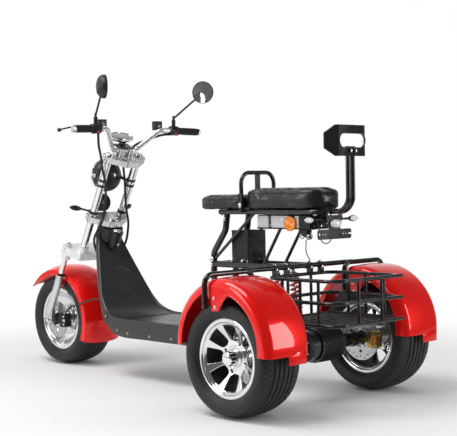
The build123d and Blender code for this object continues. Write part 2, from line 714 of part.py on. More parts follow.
def shield_solid(inset, forward, down):
    """The leg shield and floor as a solid, narrowed and moved forward and down."""
    rider = [(aft(y) - forward, z - down) for y, z in RIDER_LINE]
    front = [(aft(y) - forward, z - down) for y, z in FRONT_LINE]
    left = [(half - inset, z) for half, z in SHIELD_WIDTHS]
    right = [(-x, z) for x, z in reversed(left)]
    with BuildPart() as block:
        with BuildSketch(Plane.YZ):
            with BuildLine():
                Spline(*rider, tangents=[(28, -87), (90, -8)])
                Polyline(rider[-1], (aft(FLOOR_REAR), rider[-1][1]), (aft(FLOOR_REAR), front[0][1]), front[0])
                Spline(*front, tangents=[(-90, 0), (-32, 92)])
                Line(front[-1], rider[0])
            make_face()
        extrude(amount=200, both=True)
        with BuildSketch(Plane.XZ):
            with BuildLine():
                Polyline(*left, *right, close=True)
            make_face()
        extrude(amount=2000, both=True, mode=Mode.INTERSECT)
    return block.part


with BuildPart() as leg_shield:
    add(shield_solid(0, 0, 0) - shield_solid(SHELL, 3, SHELL))
    neck_cut = HOOD_BOTTOM - NECK_CLEARANCE
    posts([(0, 0)], NECK_DIAMETER + 2 * NECK_CLEARANCE, neck_cut, 40, Mode.SUBTRACT)
    housing_cut = HOUSING_BOTTOM - NECK_CLEARANCE
    posts(HOUSING_SPOT, HOUSING_DIAMETER + 2 * NECK_CLEARANCE, housing_cut, 40, Mode.SUBTRACT)
finish(leg_shield.part, "leg_shield")

with BuildPart() as neck_cover:
    posts([(0, 0)], NECK_DIAMETER, HOOD_BOTTOM, HOOD_TOP)
    posts(HOUSING_SPOT, HOUSING_DIAMETER, HOUSING_BOTTOM, HOOD_TOP + 1)
    posts([(0, 0)], HEAD_TUBE_DIAMETER + 2 * SEAT_GAP, HOOD_TOP - 200, HOOD_TOP + 20, Mode.SUBTRACT)
finish(neck_cover.part, "neck_cover")

# ---------------------------------------------------------------- seat and boxes


def make_cushion(name, outline, height):
    """A seat cushion on the rails, from the left half of its outline as (x, y)."""
    left = [(x, aft(y)) for x, y in outline]
    right = [(-x, aft(y)) for x, y in reversed(outline)]
    with BuildPart() as cushion:
        with BuildSketch(Plane.XY.offset(SEAT_BASE_Z)) as section:
            with BuildLine():
                Polyline(*left, *right, close=True)
            make_face()
            fillet(section.vertices(), 18)
        extrude(amount=height)
    finish(cushion.part, name)


make_cushion("front_seat", [(45, -550), (88, -520), (104, -470), (104, -400), (82, -290)], 52)
make_cushion("rear_seat", [(80, -281), (92, -240), (92, 40), (60, 104)], 76)

with BuildPart() as seat_hoop:
    corners = [(HOOP_X, SEAT_RAIL_Z), (HOOP_X, HOOP_TOP), (-HOOP_X, HOOP_TOP), (-HOOP_X, SEAT_RAIL_Z)]
    hoop = [(x, aft(SEAT_SPLIT_Y), z) for x, z in corners]
    bar(hoop, HOOP_TUBE, 45)
    with BuildSketch(Plane.XY.offset(826)):
        with Locations((0, aft(SEAT_SPLIT_Y))):
            Rectangle(26, 5)
    extrude(amount=HOOP_TOP - 826)
finish(seat_hoop.part, "seat_hoop")

with BuildPart() as under_seat_box:
    block(BOX_HALF, BOX_SPAN, (BOX_FLOOR_Z, RAIL_FOOT_Z), 6)
finish(under_seat_box.part, "under_seat_box")

with BuildPart() as controller_box:
    block(POST_X + 8, (-388, -296), (BEAM_Z + FRAME_TUBE / 2 + SEAT_GAP, BEAM_Z + 18), 4)
    block(POST_X - BRACE_TUBE / 2 - 4, (-392, -292), (BEAM_Z + 16, 657), 8)
finish(controller_box.part, "controller_box")

PLATE_HALF = 112
PLATE_FLAT = 72
PLATE_HEIGHT = 116
PLATE_WING = 40


def backrest_plate():
    """The bent plate behind the backrest pad, with cut corners and a long hole."""
    plate_y = aft(BACKREST_Y) + BACKREST_TUBE / 2 + 1
    wing_y = plate_y - PLATE_WING
    with BuildPart() as plate:
        with BuildSketch(Plane.XY.offset(BACKREST_Z - PLATE_HEIGHT / 2)):
            with BuildLine():
                Polyline((-PLATE_HALF, wing_y), (-PLATE_FLAT, plate_y), (PLATE_FLAT, plate_y), (PLATE_HALF, wing_y))
                offset(amount=2)
            make_face()
        extrude(amount=PLATE_HEIGHT)
        with BuildSketch(Plane.XZ.offset(-aft(BACKREST_Y + 60))) as outline:
            with Locations((0, BACKREST_Z)):
                Rectangle(2 * PLATE_HALF, PLATE_HEIGHT)
                chamfer(outline.vertices(), 30)
                SlotOverall(140, 50, mode=Mode.SUBTRACT)
        extrude(amount=400, mode=Mode.INTERSECT)
    return plate.part


with BuildPart() as backrest_frame:
    for side in (1, -1):
        x = side * 13.5
        stay = [
            (x, aft(RAIL_REAR) + RAIL_TUBE / 2 + SEAT_GAP, SEAT_RAIL_Z),
            (x, aft(BACKREST_Y), SEAT_RAIL_Z),
            (x, aft(BACKREST_Y), BACKREST_Z - 30),
        ]
        bar(stay, BACKREST_TUBE, 60)
    add(backrest_plate())
finish(backrest_frame.part, "backrest_frame")

# ---------------------------------------------------------------- rear carrier and basket
with BuildPart() as carrier_bar:
    bar([(-HALF_TRACK + 60, CARRIER_Y, CARRIER_Z), (HALF_TRACK - 60, CARRIER_Y, CARRIER_Z)], CARRIER_TUBE)
    for x in (HALF_TRACK, -HALF_TRACK):
        left = x + FENDER_LEFT + CARRIER_TUBE / 2 + SEAT_GAP
        right = x - FENDER_RIGHT - CARRIER_TUBE / 2 - SEAT_GAP
        y = CARRIER_Y + CARRIER_TUBE - 1
        loop = [(left, y, 400), (left, y, CARRIER_Z), (right, y, CARRIER_Z), (right, y, 430)]
        bar(loop, CARRIER_TUBE, 38)
finish(carrier_bar.part, "carrier_bar")

with BuildPart() as basket:
    left = BASKET_HALF_WIDTH - BASKET_TUBE / 2
    front = BASKET_FRONT + BASKET_TUBE / 2
    rear = BASKET_REAR - BASKET_TUBE / 2
    middle = (front + rear) / 2
    for level in BASKET_LEVELS:
        corners = [(0, front), (left, front), (left, rear), (-left, rear), (-left, front), (0, front)]
        bar([(x, y, level) for x, y in corners[:4]], BASKET_TUBE, BASKET_CORNER)
        bar([(0, rear, level), (-left, rear, level), (-left, front, level), (0, front, level)], BASKET_TUBE, BASKET_CORNER)
    for step in range(-3, 4):
        x = step * 44
        bar([(x, front, BASKET_LEVELS[0]), (x, rear, BASKET_LEVELS[0])], BASKET_WIRE)
    spots = [(side * 66, y) for side in (1, -1) for y in (front, rear)]
    spots += [(side * left, middle + shift) for side in (1, -1) for shift in (-90, 0, 90)]
    with BuildSketch(Plane.XY.offset(BASKET_LEVELS[0])) as uprights:
        with Locations(*spots):
            Circle(BASKET_POST / 2)
    extrude(uprights.sketch, amount=BASKET_LEVELS[2] - BASKET_LEVELS[0])
    with BuildSketch(Plane.XY.offset(BASKET_LEVELS[2])) as hangers:
        for x in (-130, -66, 66, 130):
            with Locations((x, (front + CARRIER_Y) / 2)):
                Rectangle(18, abs(front - CARRIER_Y) + 10)
    extrude(hangers.sketch, amount=CARRIER_Z - CARRIER_TUBE / 2 - SEAT_GAP - BASKET_LEVELS[2])
finish(basket.part, "basket")

# ---------------------------------------------------------------- rear fenders


def fender_section(x, start, step, inset):
    """The closed outline of a fender's section at an angle, drawn in by inset."""
    left = x + FENDER_LEFT - step - inset
    right = x - FENDER_RIGHT + inset
    crown = FENDER_RADIUS - inset
    shoulder = crown - FENDER_ROUND
    low = FENDER_RADIUS - FENDER_SKIRT + step - inset * 10
    turn = FENDER_ROUND - FENDER_ROUND / math.sqrt(2)
    with BuildSketch(ring_plane(REAR_AXLE_Y, FENDER_CENTRE_Z, start)) as section:
        with BuildLine():
            Polyline((left, shoulder), (left, low), (right, low), (right, shoulder))
            ThreePointArc(
                (right, shoulder), (right + turn, crown - turn - 2), (right + FENDER_ROUND, crown - 3)
            )
            ThreePointArc((right + FENDER_ROUND, crown - 3), (x, crown), (left - FENDER_ROUND, crown - 3))
            ThreePointArc((left, shoulder), (left - turn, crown - turn - 2), (left - FENDER_ROUND, crown - 3))
        make_face()
    return section.sketch


def make_fender(name, x):
    """A rear fender, the same moulding on both sides, with its lobe on the left."""
    axis = Axis((0, REAR_AXLE_Y, FENDER_CENTRE_Z), (1, 0, 0))
    tail = (FENDER_START, FENDER_STEP - FENDER_START, 0)
    nose = (FENDER_STEP, FENDER_END - FENDER_STEP, FENDER_STEP_IN)
    with BuildPart() as fender:
        for start, arc, step in (tail, nose):
            wall = fender_section(x, start, step, 0) - fender_section(x, start, step, FENDER_WALL)
            revolve(wall, axis=axis, revolution_arc=arc)
        lobe_x = x + FENDER_LEFT
        with BuildSketch(Plane(origin=(lobe_x, 0, 0), x_dir=(0, 1, 0), z_dir=(1, 0, 0))) as lobe:
            with BuildLine() as edge:
                FilletPolyline(
                    (aft(LOBE_FRONT), LOBE_TOP),
                    (aft(LOBE_FRONT) + 2, LOBE_BOTTOM),
                    (aft(LOBE_REAR) - 10, LOBE_BOTTOM),
                    (aft(LOBE_REAR) + 8, LOBE_TOP),
                    radius=14,
                )
                Line(edge.line @ 1, edge.line @ 0)
            make_face()
            with Locations((aft(-22), 438), (aft(-18), 404)):
                Circle(FENDER_BOLT, mode=Mode.SUBTRACT)
        extrude(lobe.sketch, amount=-FENDER_WALL)
        flap_y = aft(0) + FENDER_RADIUS - FENDER_WALL
        with BuildSketch(Plane.XY.offset(FLAP_BOTTOM)) as flap:
            with Locations((x - 35, flap_y)):
                Rectangle(FLAP_WIDTH, FENDER_WALL)
        extrude(flap.sketch, amount=FENDER_CENTRE_Z - 10 - FLAP_BOTTOM)
    finish(fender.part, name)


make_fender("left_fender", HALF_TRACK)
make_fender("right_fender", -HALF_TRACK)

# ---------------------------------------------------------------- rear axle and suspension
AXLE_TUBE = 56
SHOCK_FOOT = -102
DISC_X = HALF_TRACK - REAR_RIM_WIDTH / 2 - DISC_OFFSET
with BuildPart() as rear_axle:
    tube_end = DISC_X - PLATE_REACH - PLATE_THICKNESS - SEAT_GAP
    bar([(-tube_end, REAR_AXLE_Y, AXLE_Z), (tube_end, REAR_AXLE_Y, AXLE_Z)], AXLE_TUBE)
    bar([(-115, REAR_AXLE_Y, AXLE_Z), (10, REAR_AXLE_Y, AXLE_Z)], 134)
    bar([(0, REAR_AXLE_Y, AXLE_Z), (80, REAR_AXLE_Y, AXLE_Z)], 120)
    spindle_end = HALF_TRACK + REAR_RIM_WIDTH / 2 - 24
    bar([(-spindle_end, REAR_AXLE_Y, AXLE_Z), (spindle_end, REAR_AXLE_Y, AXLE_Z)], REAR_SPINDLE)
finish(rear_axle.part, "rear_axle")

with BuildPart() as swing_arm:
    for side in (1, -1):
        x = side * 230
        arm_end = aft(0) - AXLE_TUBE / 2 - SEAT_GAP
        bar([(side * 50, PIVOT_Y, PIVOT_Z), (x, aft(-200), 236), (x, arm_end, AXLE_Z)], 32, 80)
    bar([(-90, PIVOT_Y, PIVOT_Z), (90, PIVOT_Y, PIVOT_Z)], 34)
    bar([(-230, aft(SHOCK_FOOT), 226), (230, aft(SHOCK_FOOT), 226)], 30)
    bar([(-100, PIVOT_Y, PIVOT_Z), (100, PIVOT_Y, PIVOT_Z)], PIVOT_PIN + 2 * RUNNING_FIT, mode=Mode.SUBTRACT)
finish(swing_arm.part, "swing_arm")

with BuildPart() as rear_shocks:
    for side in (1, -1):
        x = side * 45
        low = Vector(x, aft(SHOCK_FOOT), 226 + 15 + 1)
        top = Vector(x, SHOCK_TOP_Y, BEAM_Z - FRAME_TUBE / 2 - 1)
        bar([low, top], 16)
        bar([low + (top - low) * 0.08, low + (top - low) * 0.5], 34)
        bar([low + (top - low) * 0.42, low + (top - low) * 0.9], 46)
finish(rear_shocks.part, "rear_shocks")

REAR_DISCS = [(side * DISC_X, REAR_AXLE_Y, -side) for side in (1, -1)]
finish(make_calipers(REAR_DISCS, REAR_DISC_RADIUS, REAR_SPINDLE), "rear_calipers")

# ---------------------------------------------------------------- lamps and brackets
PLATE_HOLE = 3.5
PLATE_Y = RAIL_REAR + RAIL_TUBE / 2 + SEAT_GAP
LAMP_Z = 706
with BuildPart() as plate_bracket:
    with BuildSketch(Plane.XZ.offset(-aft(PLATE_Y))):
        with Locations((0, 650)):
            RectangleRounded(192, 38, 6)
        with Locations((0, 690)):
            Rectangle(60, 60)
        with Locations((-35, 715), (35, 715)):
            Rectangle(22, 50)
        with Locations((-80, 650), (-50, 650), (50, 650), (80, 650)):
            Circle(PLATE_HOLE, mode=Mode.SUBTRACT)
    extrude(amount=-4)
    block(30, (90, PLATE_Y + 2), (LAMP_Z - 14, LAMP_Z + 12), 3)
finish(plate_bracket.part, "plate_bracket")

with BuildPart() as rear_lamps:
    for side in (1, -1):
        bar([(side * (30 + SEAT_GAP), aft(106), LAMP_Z), (side * 110, aft(106), LAMP_Z)], 12)
        bar([(side * 104, aft(106), LAMP_Z), (side * 160, aft(106), LAMP_Z)], 26)
    with BuildSketch(Plane.XZ.offset(-aft(PLATE_Y + 4 + SEAT_GAP))):
        with Locations((0, 690)):
            Ellipse(32, 18)
    extrude(amount=-20)
finish(rear_lamps.part, "rear_lamps")

with BuildPart() as side_reflectors:
    for side in (1, -1):
        with BuildSketch(Plane(origin=(side * (BOX_HALF + SEAT_GAP), aft(-45), 690), z_dir=(side, 0, 0))):
            Circle(29)
        extrude(amount=8)
finish(side_reflectors.part, "side_reflectors")

LATCH_Z = 628
with BuildPart() as seat_latch:
    with BuildSketch(Plane.XY.offset(LATCH_Z)):
        with Locations((35, aft(10))):
            RectangleRounded(30, 60, 6)
    extrude(amount=BOX_FLOOR_Z - LATCH_Z - SEAT_GAP)
finish(seat_latch.part, "seat_latch")

# ---------------------------------------------------------------- cords
HARNESS = 11
HOSE = 8
THIN_WIRE = 4


def cord(points, diameter):
    """Adds a cord whose bends are as large as its runs allow, and prints their radii."""
    runs = [Vector(*b) - Vector(*a) for a, b in zip(points, points[1:])]
    radii = []
    for before, after in zip(runs, runs[1:]):
        half_turn = math.radians(before.get_angle(after)) / 2
        radii.append(0.45 * min(before.length, after.length) / math.tan(half_turn))
    print(f"{diameter} mm cord, radii {min(radii):.0f} to {max(radii):.0f}")
    with BuildLine() as route:
        FilletPolyline(*points, radius=radii)
    with BuildSketch(Plane(origin=route.line @ 0, z_dir=route.line % 0)) as section:
        Circle(diameter / 2)
    sweep(sections=section.sketch, path=route.line)


def steered(points):
    """Points of the steering frame as points of the vehicle's frame."""
    return [tuple(steer(*point)) for point in points]


TRAY_FACE = TRAY_FRONT - SEAT_GAP
CONTROL_FOOT = on_bar(GRIP_LENGTH + 34) - Vector(0, 0, CONTROL_DIAMETER / 2 + SEAT_GAP)
CONTROL_END = on_bar(GRIP_LENGTH + 41) - Vector(0, 0, 17.5)
LEFT_START = [CONTROL_FOOT, CONTROL_FOOT - Vector(0, 0, 50), (172, aft(-1103), 1006), (133, aft(-1146), 984)]
RIGHT_START = [
    *mirrored([tuple(CONTROL_END), tuple(CONTROL_END - GRIP_DIRECTION * 40)]),
    (-124, aft(-1130), 1062),
    (-90, aft(-1164), 1048),
    (-62, aft(-1188), 1014),
    (-36, aft(-1202), 976),
]
LEFT_STEERED = [
    (121, -38, 250),
    (100, -12, 192),
    (72, -12, 122),
    (64, -2, 52),
    (74, 22, 2),
    (82, 14, -58),
    (78, -2, -110),
]
LEFT_RUN = [(68, -1288, 552), (54, -1260, 496), (46, -1212, 424), (42, -1168, 352), (42, -1116, 286), (42, -1048, 236)]
RIGHT_STEERED = [
    (-34, -64, 220),
    (-46, -40, 160),
    (-54, -20, 96),
    (-64, 2, 40),
    (-76, 26, -8),
    (-84, 34, -62),
]
RIGHT_RUN = [
    (-94, -1264, 590),
    (-84, -1292, 538),
    (-58, -1272, 482),
    (-46, -1216, 418),
    (-42, -1166, 350),
    (-42, -1116, 286),
    (-42, -1048, 236),
]
HOSE_RUN = [
    (109, -1452, 278),
    (115, -1400, 294),
    (121, -1340, 308),
    (124, -1276, 326),
    (118, -1216, 340),
    (100, -1162, 318),
    (82, -1108, 270),
    (74, -1046, 232),
]


def behind(points, end_x, end_z):
    """Points behind the rear axle in the vehicle's frame, with an end on the floor tray."""
    return [(x, aft(y), z) for x, y, z in points + [(end_x, TRAY_FACE, end_z)]]


with BuildPart() as control_cables:
    cord(LEFT_START + steered(LEFT_STEERED) + behind(LEFT_RUN, 42, 236), HARNESS)
    cord(RIGHT_START + steered(RIGHT_STEERED) + behind(RIGHT_RUN, -42, 236), HARNESS)
    caliper_top = AXLE_Z + CALIPER_HEIGHT / 2
    hose_start = (106, FRONT_AXLE_Y + FRONT_DISC_RADIUS, caliper_top + HOSE / 2)
    cord([hose_start] + behind(HOSE_RUN, 74, 232), HOSE)
finish(control_cables.part, "control_cables")

with BuildPart() as rear_wires:
    latch_wire = [
        (30, aft(4), LATCH_Z - SEAT_GAP),
        (30, aft(2), 608),
        (18, aft(-10), 584),
        (-8, aft(-28), 566),
        (-40, aft(-48), 552),
        (-66, aft(-66), 545),
        (-72, CARRIER_Y, CARRIER_Z + CARRIER_TUBE / 2 + 1),
    ]
    cord(latch_wire, THIN_WIRE)
    loop_y = aft(PLATE_Y) - THIN_WIRE / 2 - SEAT_GAP
    lamp_wire = [
        (80, aft(106), LAMP_Z - 6 - 1),
        (80, loop_y - 4, 680),
        (80, loop_y, 656),
        (76, loop_y, 634),
        (60, loop_y, 618),
        (38, loop_y, 615),
        (18, loop_y, 624),
        (10, loop_y, 644),
        (10, loop_y - 2, 668),
        (10, loop_y - 6, LAMP_Z - 14 - SEAT_GAP),
    ]
    cord(lamp_wire, THIN_WIRE)
finish(rear_wires.part, "rear_wires")
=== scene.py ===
import math

import bmesh
import bpy
from mathutils import Matrix, Vector, noise


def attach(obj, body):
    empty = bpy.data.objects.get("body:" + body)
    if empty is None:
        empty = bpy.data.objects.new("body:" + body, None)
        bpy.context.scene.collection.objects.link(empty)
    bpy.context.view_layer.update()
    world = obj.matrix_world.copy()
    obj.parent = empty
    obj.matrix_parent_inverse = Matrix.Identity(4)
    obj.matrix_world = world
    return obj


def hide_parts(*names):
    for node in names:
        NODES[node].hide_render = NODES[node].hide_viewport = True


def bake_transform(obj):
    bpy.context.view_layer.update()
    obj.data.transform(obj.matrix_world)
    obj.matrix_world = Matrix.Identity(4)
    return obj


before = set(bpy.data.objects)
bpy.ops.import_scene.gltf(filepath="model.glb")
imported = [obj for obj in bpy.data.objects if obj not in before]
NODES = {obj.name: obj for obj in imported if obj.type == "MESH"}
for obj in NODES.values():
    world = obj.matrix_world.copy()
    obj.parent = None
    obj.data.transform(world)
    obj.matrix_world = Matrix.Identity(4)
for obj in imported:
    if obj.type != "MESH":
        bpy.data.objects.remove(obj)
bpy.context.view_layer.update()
AXLE = 0.747


def at(x, y, z):
    """A point in millimetres, with Y counted back from the rear axle, in metres."""
    return Vector((x / 1000, AXLE + y / 1000, z / 1000))


RAKE = math.radians(27)
STEM = at(0, -1240, 703.6)
STEER_Y = Vector((0, math.cos(RAKE), -math.sin(RAKE)))
STEER_Z = Vector((0, math.sin(RAKE), math.cos(RAKE)))


def steer(x, y, z):
    """A point of the steering frame, in millimetres, in metres."""
    return STEM + Vector((x / 1000, 0, 0)) + STEER_Y * (y / 1000) + STEER_Z * (z / 1000)


# ------------------------------------------------------------------ camera, lights, floor
camera = bpy.data.objects.new("camera", bpy.data.cameras.new("camera"))
bpy.context.collection.objects.link(camera)
camera.data.lens = 89.24
camera.data.sensor_width = 36
camera.data.clip_end = 60
right = Vector((-0.7247, 0.6888, -0.0190))
up = Vector((-0.0317, -0.0058, 0.9995))
back = right.cross(up).normalized()
up = back.cross(right).normalized()
right.normalize()
camera.matrix_world = Matrix.Translation((3.242, 3.702, 0.830)) @ Matrix((right, up,
    back)).transposed().to_4x4()
bpy.context.scene.camera = camera
bpy.context.scene.view_settings.view_transform = "Standard"


def lamp(name, place, target, size, power):
    """A soft square lamp aimed at a target."""
    light = bpy.data.lights.new(name, "AREA")
    light.shape = "RECTANGLE"
    light.size = size[0]
    light.size_y = size[1]
    light.energy = power
    obj = bpy.data.objects.new(name, light)
    bpy.context.collection.objects.link(obj)
    obj.location = place
    obj.rotation_euler = (Vector(target) - Vector(place)).to_track_quat("-Z", "Y").to_euler()
    return obj


lamp("key", (1.5, -0.2, 3.4), (0, 0, 0.3), (2.4, 1.5), 70)
lamp("side", (3.6, -0.9, 1.9), (0, -0.2, 0.5), (1.2, 2.0), 34)
lamp("rear", (-2.0, 3.6, 1.0), (0.2, 0.8, 0.4), (0.9, 2.1), 38)


def node(tree, kind, **values):
    """A new shader node, with its sockets and settings set by name."""
    made = tree.nodes.new(kind)
    for key, value in values.items():
        name = key.replace("_", " ")
        if name in made.inputs:
            made.inputs[name].default_value = value
        else:
            setattr(made, key, value)
    return made


world = bpy.data.worlds.new("studio")
bpy.context.scene.world = world
world.use_nodes = True
tree = world.node_tree
light_path = node(tree, "ShaderNodeLightPath")
coords = node(tree, "ShaderNodeTexCoord")
lean = node(tree, "ShaderNodeVectorMath", operation="DOT_PRODUCT")
lean.inputs[1].default_value = (0.12, 0.93, 0.35)
tree.links.new(coords.outputs["Generated"], lean.inputs[0])
height = node(tree, "ShaderNodeMapRange", From_Min=-0.75, From_Max=0.2, To_Min=1.0, To_Max=0.12)
tree.links.new(lean.outputs["Value"], height.inputs["Value"])
glossy = node(tree, "ShaderNodeMixRGB")
glossy.inputs[1].default_value = (0.5, 0.5, 0.5, 1)
tree.links.new(light_path.outputs["Is Glossy Ray"], glossy.inputs[0])
tree.links.new(height.outputs[0], glossy.inputs[2])
seen = node(tree, "ShaderNodeMath", operation="MAXIMUM")
tree.links.new(light_path.outputs["Is Camera Ray"], seen.inputs[0])
tree.links.new(light_path.outputs["Is Transmission Ray"], seen.inputs[1])
white = node(tree, "ShaderNodeMixRGB")
tree.links.new(seen.outputs[0], white.inputs[0])
tree.links.new(glossy.outputs[0], white.inputs[1])
white.inputs[2].default_value = (1, 1, 1, 1)
tree.links.new(white.outputs[0], tree.nodes["Background"].inputs["Color"])


# ------------------------------------------------------------------ materials
def finish_of(name, colour, rough, metal=0.0, coat=0.0, vary=0.12, scale=30.0, spread=0.06,
              bump=0.05, grain=600.0, depth=0.0002, extra=None, specular=0.5):
    """A Principled material whose colour, gloss and relief vary over the surface."""
    made = bpy.data.materials.new(name)
    made.use_nodes = True
    tree = made.node_tree
    link = tree.links.new
    shader = tree.nodes["Principled BSDF"]
    shader.inputs["Metallic"].default_value = metal
    shader.inputs["Coat Weight"].default_value = coat
    shader.inputs["Specular IOR Level"].default_value = specular
    shader.inputs["Coat Roughness"].default_value = 0.04
    coords = node(tree, "ShaderNodeTexCoord")
    broad = node(tree, "ShaderNodeTexNoise", Scale=scale, Detail=4.0)
    link(coords.outputs["Object"], broad.inputs["Vector"])
    ramp = node(tree, "ShaderNodeMixRGB")
    ramp.inputs[1].default_value = (*[c * (1 - vary) for c in colour], 1)
    ramp.inputs[2].default_value = (*[min(1, c * (1 + vary)) for c in colour], 1)
    link(broad.outputs["Fac"], ramp.inputs[0])
    link(ramp.outputs[0], shader.inputs["Base Color"])
    gloss = node(tree, "ShaderNodeMapRange", From_Min=0.3, From_Max=0.7, To_Min=rough - spread,
        To_Max=rough + spread)
    link(broad.outputs["Fac"], gloss.inputs["Value"])
    link(gloss.outputs[0], shader.inputs["Roughness"])
    fine = node(tree, "ShaderNodeTexNoise", Scale=grain, Detail=3.0)
    link(coords.outputs["Object"], fine.inputs["Vector"])
    relief = node(tree, "ShaderNodeBump", Strength=bump, Distance=depth)
    link(fine.outputs["Fac"], relief.inputs["Height"])
    link(relief.outputs[0], shader.inputs["Normal"])
    if extra:
        extra(tree, shader, relief, coords)
    return made


RUBBER = finish_of("tyre_rubber", (0.012, 0.012, 0.0125), 0.55, vary=0.25, scale=45, bump=0.35, grain=900)
ALLOY = finish_of("polished_alloy", (0.83, 0.83, 0.85), 0.13, metal=1, vary=0.05, scale=25, spread=0.05,
    bump=0.02)
CAST = finish_of("cast_alloy", (0.74, 0.74, 0.76), 0.34, metal=1, vary=0.08, scale=50, bump=0.12, grain=700)
BRIDGE = finish_of("silver_paint", (0.84, 0.84, 0.85), 0.3, metal=0.35, coat=0.4, vary=0.05, bump=0.05)
CHROME = finish_of("chrome", (0.86, 0.86, 0.88), 0.06, metal=1, vary=0.03, spread=0.03, bump=0.0)
STEEL = finish_of("disc_steel", (0.55, 0.55, 0.57), 0.3, metal=1, vary=0.1, scale=60, bump=0.08, grain=900)
BLACK = finish_of("black_steel", (0.006, 0.006, 0.0065), 0.24, coat=0.5, vary=0.25, scale=35, bump=0.12,
    grain=500)
GLOSS = finish_of("gloss_black", (0.01, 0.01, 0.011), 0.12, coat=0.7, vary=0.2, bump=0.03)
PLASTIC = finish_of("black_plastic", (0.01, 0.01, 0.011), 0.42, vary=0.2, scale=30, bump=0.3, grain=1400,
    depth=0.00012)
MATT = finish_of("matt_black", (0.008, 0.008, 0.0085), 0.6, vary=0.25, scale=40, bump=0.3, grain=900)
VINYL = finish_of("seat_vinyl", (0.012, 0.012, 0.0125), 0.3, coat=0.12, vary=0.2, scale=25, bump=0.35,
    grain=750, depth=0.0002)
RED = finish_of("red_paint", (0.86, 0.006, 0.004), 0.28, metal=0.3, coat=0.9, vary=0.05, scale=900,
    spread=0.05, bump=0.02, grain=2500, specular=0.1)
SPRING = finish_of("red_spring", (0.6, 0.012, 0.012), 0.25, coat=0.8, vary=0.1, bump=0.04)
GREY_PLASTIC = finish_of("grey_plastic", (0.42, 0.42, 0.43), 0.45, vary=0.06, bump=0.15, grain=1200)
ORANGE = finish_of("orange_lens", (0.9, 0.27, 0.01), 0.12, coat=1.0, vary=0.1, scale=80, bump=0.3, grain=300,
    depth=0.0006)
CLEAR = finish_of("clear_lens", (0.82, 0.83, 0.84), 0.08, coat=1.0, vary=0.08, scale=60, bump=0.3, grain=250,
    depth=0.0006)
GOLD = finish_of("gold_alloy", (0.72, 0.46, 0.13), 0.3, metal=1, vary=0.12, bump=0.08)
BRASS = finish_of("brass_screw", (0.62, 0.5, 0.26), 0.3, metal=1, vary=0.1, bump=0.06)
CABLE = finish_of("cable_black", (0.016, 0.016, 0.017), 0.45, vary=0.2, scale=60, bump=0.2, grain=900)
BATTERY = finish_of("battery_case", (0.05, 0.05, 0.052), 0.55, vary=0.15, bump=0.2)
BUTTON = finish_of("red_button", (0.65, 0.02, 0.015), 0.3, coat=0.6, vary=0.08, bump=0.04)
BAR = finish_of("bar_alloy", (0.88, 0.88, 0.89), 0.2, metal=0.75, coat=0.3, vary=0.04, scale=25, spread=0.05,
    bump=0.02)
LEVER = finish_of("lever_black", (0.012, 0.012, 0.013), 0.3, coat=0.3, vary=0.15, scale=50, bump=0.08)
DIAL = finish_of("dial_glass", (0.2, 0.21, 0.23), 0.12, coat=1.0, vary=0.1, scale=12, spread=0.03, bump=0.0)
PIPING = finish_of("seat_piping", (0.006, 0.006, 0.0065), 0.3, vary=0.2, scale=60, bump=0.2, grain=900)
SHIELD = finish_of("shield_plastic", (0.024, 0.024, 0.0245), 0.36, coat=0.15, vary=0.18, scale=22, bump=0.35,
    grain=1100, depth=0.00015)
CORRUGATED = finish_of("harness_sleeve", (0.01, 0.01, 0.0105), 0.45, vary=0.2, scale=60, bump=0.25, grain=700)
SILVER = finish_of("silver_panel", (0.6, 0.6, 0.62), 0.32, metal=0.6, vary=0.08, scale=30, bump=0.06,
    grain=900)
PEARL = finish_of("white_cap", (0.85, 0.85, 0.84), 0.3, coat=0.4, vary=0.03, bump=0.04)
GLASS = finish_of("mirror_glass", (0.9, 0.9, 0.92), 0.03, metal=1, vary=0.02, spread=0.02, bump=0.0)


def studio_floor(tree, shader, relief, coords):
    """Lets the floor run out to white for the camera; in reflections its far part turns to a flat dark
    emission, a painted shade for a dark end of the studio.
    """
    link = tree.links.new
    reach = node(tree, "ShaderNodeVectorMath", operation="LENGTH")
    link(coords.outputs["Object"], reach.inputs[0])
    fade = node(tree, "ShaderNodeMapRange", From_Min=0.9, From_Max=2.6, interpolation_type="SMOOTHSTEP")
    link(reach.outputs["Value"], fade.inputs["Value"])
    toward = node(tree, "ShaderNodeVectorMath", operation="DOT_PRODUCT")
    toward.inputs[1].default_value = (0.12, 0.99, 0)
    link(coords.outputs["Object"], toward.inputs[0])
    dim = node(tree, "ShaderNodeMapRange", From_Min=0.9, From_Max=2.0, interpolation_type="SMOOTHSTEP")
    link(toward.outputs["Value"], dim.inputs["Value"])
    path = node(tree, "ShaderNodeLightPath")
    seen = node(tree, "ShaderNodeMath", operation="MULTIPLY")
    link(path.outputs["Is Camera Ray"], seen.inputs[0])
    link(fade.outputs[0], seen.inputs[1])
    mirrored = node(tree, "ShaderNodeMath", operation="MULTIPLY")
    link(path.outputs["Is Glossy Ray"], mirrored.inputs[0])
    link(dim.outputs[0], mirrored.inputs[1])
    # painted shade: for glossy rays the floor 0.9 to 2.0 m out toward the rear, the camera side, becomes a
    # dark emission of 0.08 instead of its lit colour
    white, dark = node(tree, "ShaderNodeEmission"), node(tree, "ShaderNodeEmission")
    dark.inputs[0].default_value = (0.08, 0.08, 0.08, 1)
    first, second = node(tree, "ShaderNodeMixShader"), node(tree, "ShaderNodeMixShader")
    link(seen.outputs[0], first.inputs[0])
    link(shader.outputs[0], first.inputs[1])
    link(white.outputs[0], first.inputs[2])
    link(mirrored.outputs[0], second.inputs[0])
    link(first.outputs[0], second.inputs[1])
    link(dark.outputs[0], second.inputs[2])
    link(second.outputs[0], tree.nodes["Material Output"].inputs["Surface"])


FLOOR = finish_of("floor", (0.88, 0.88, 0.88), 0.8, vary=0.01, bump=0.02, extra=studio_floor)

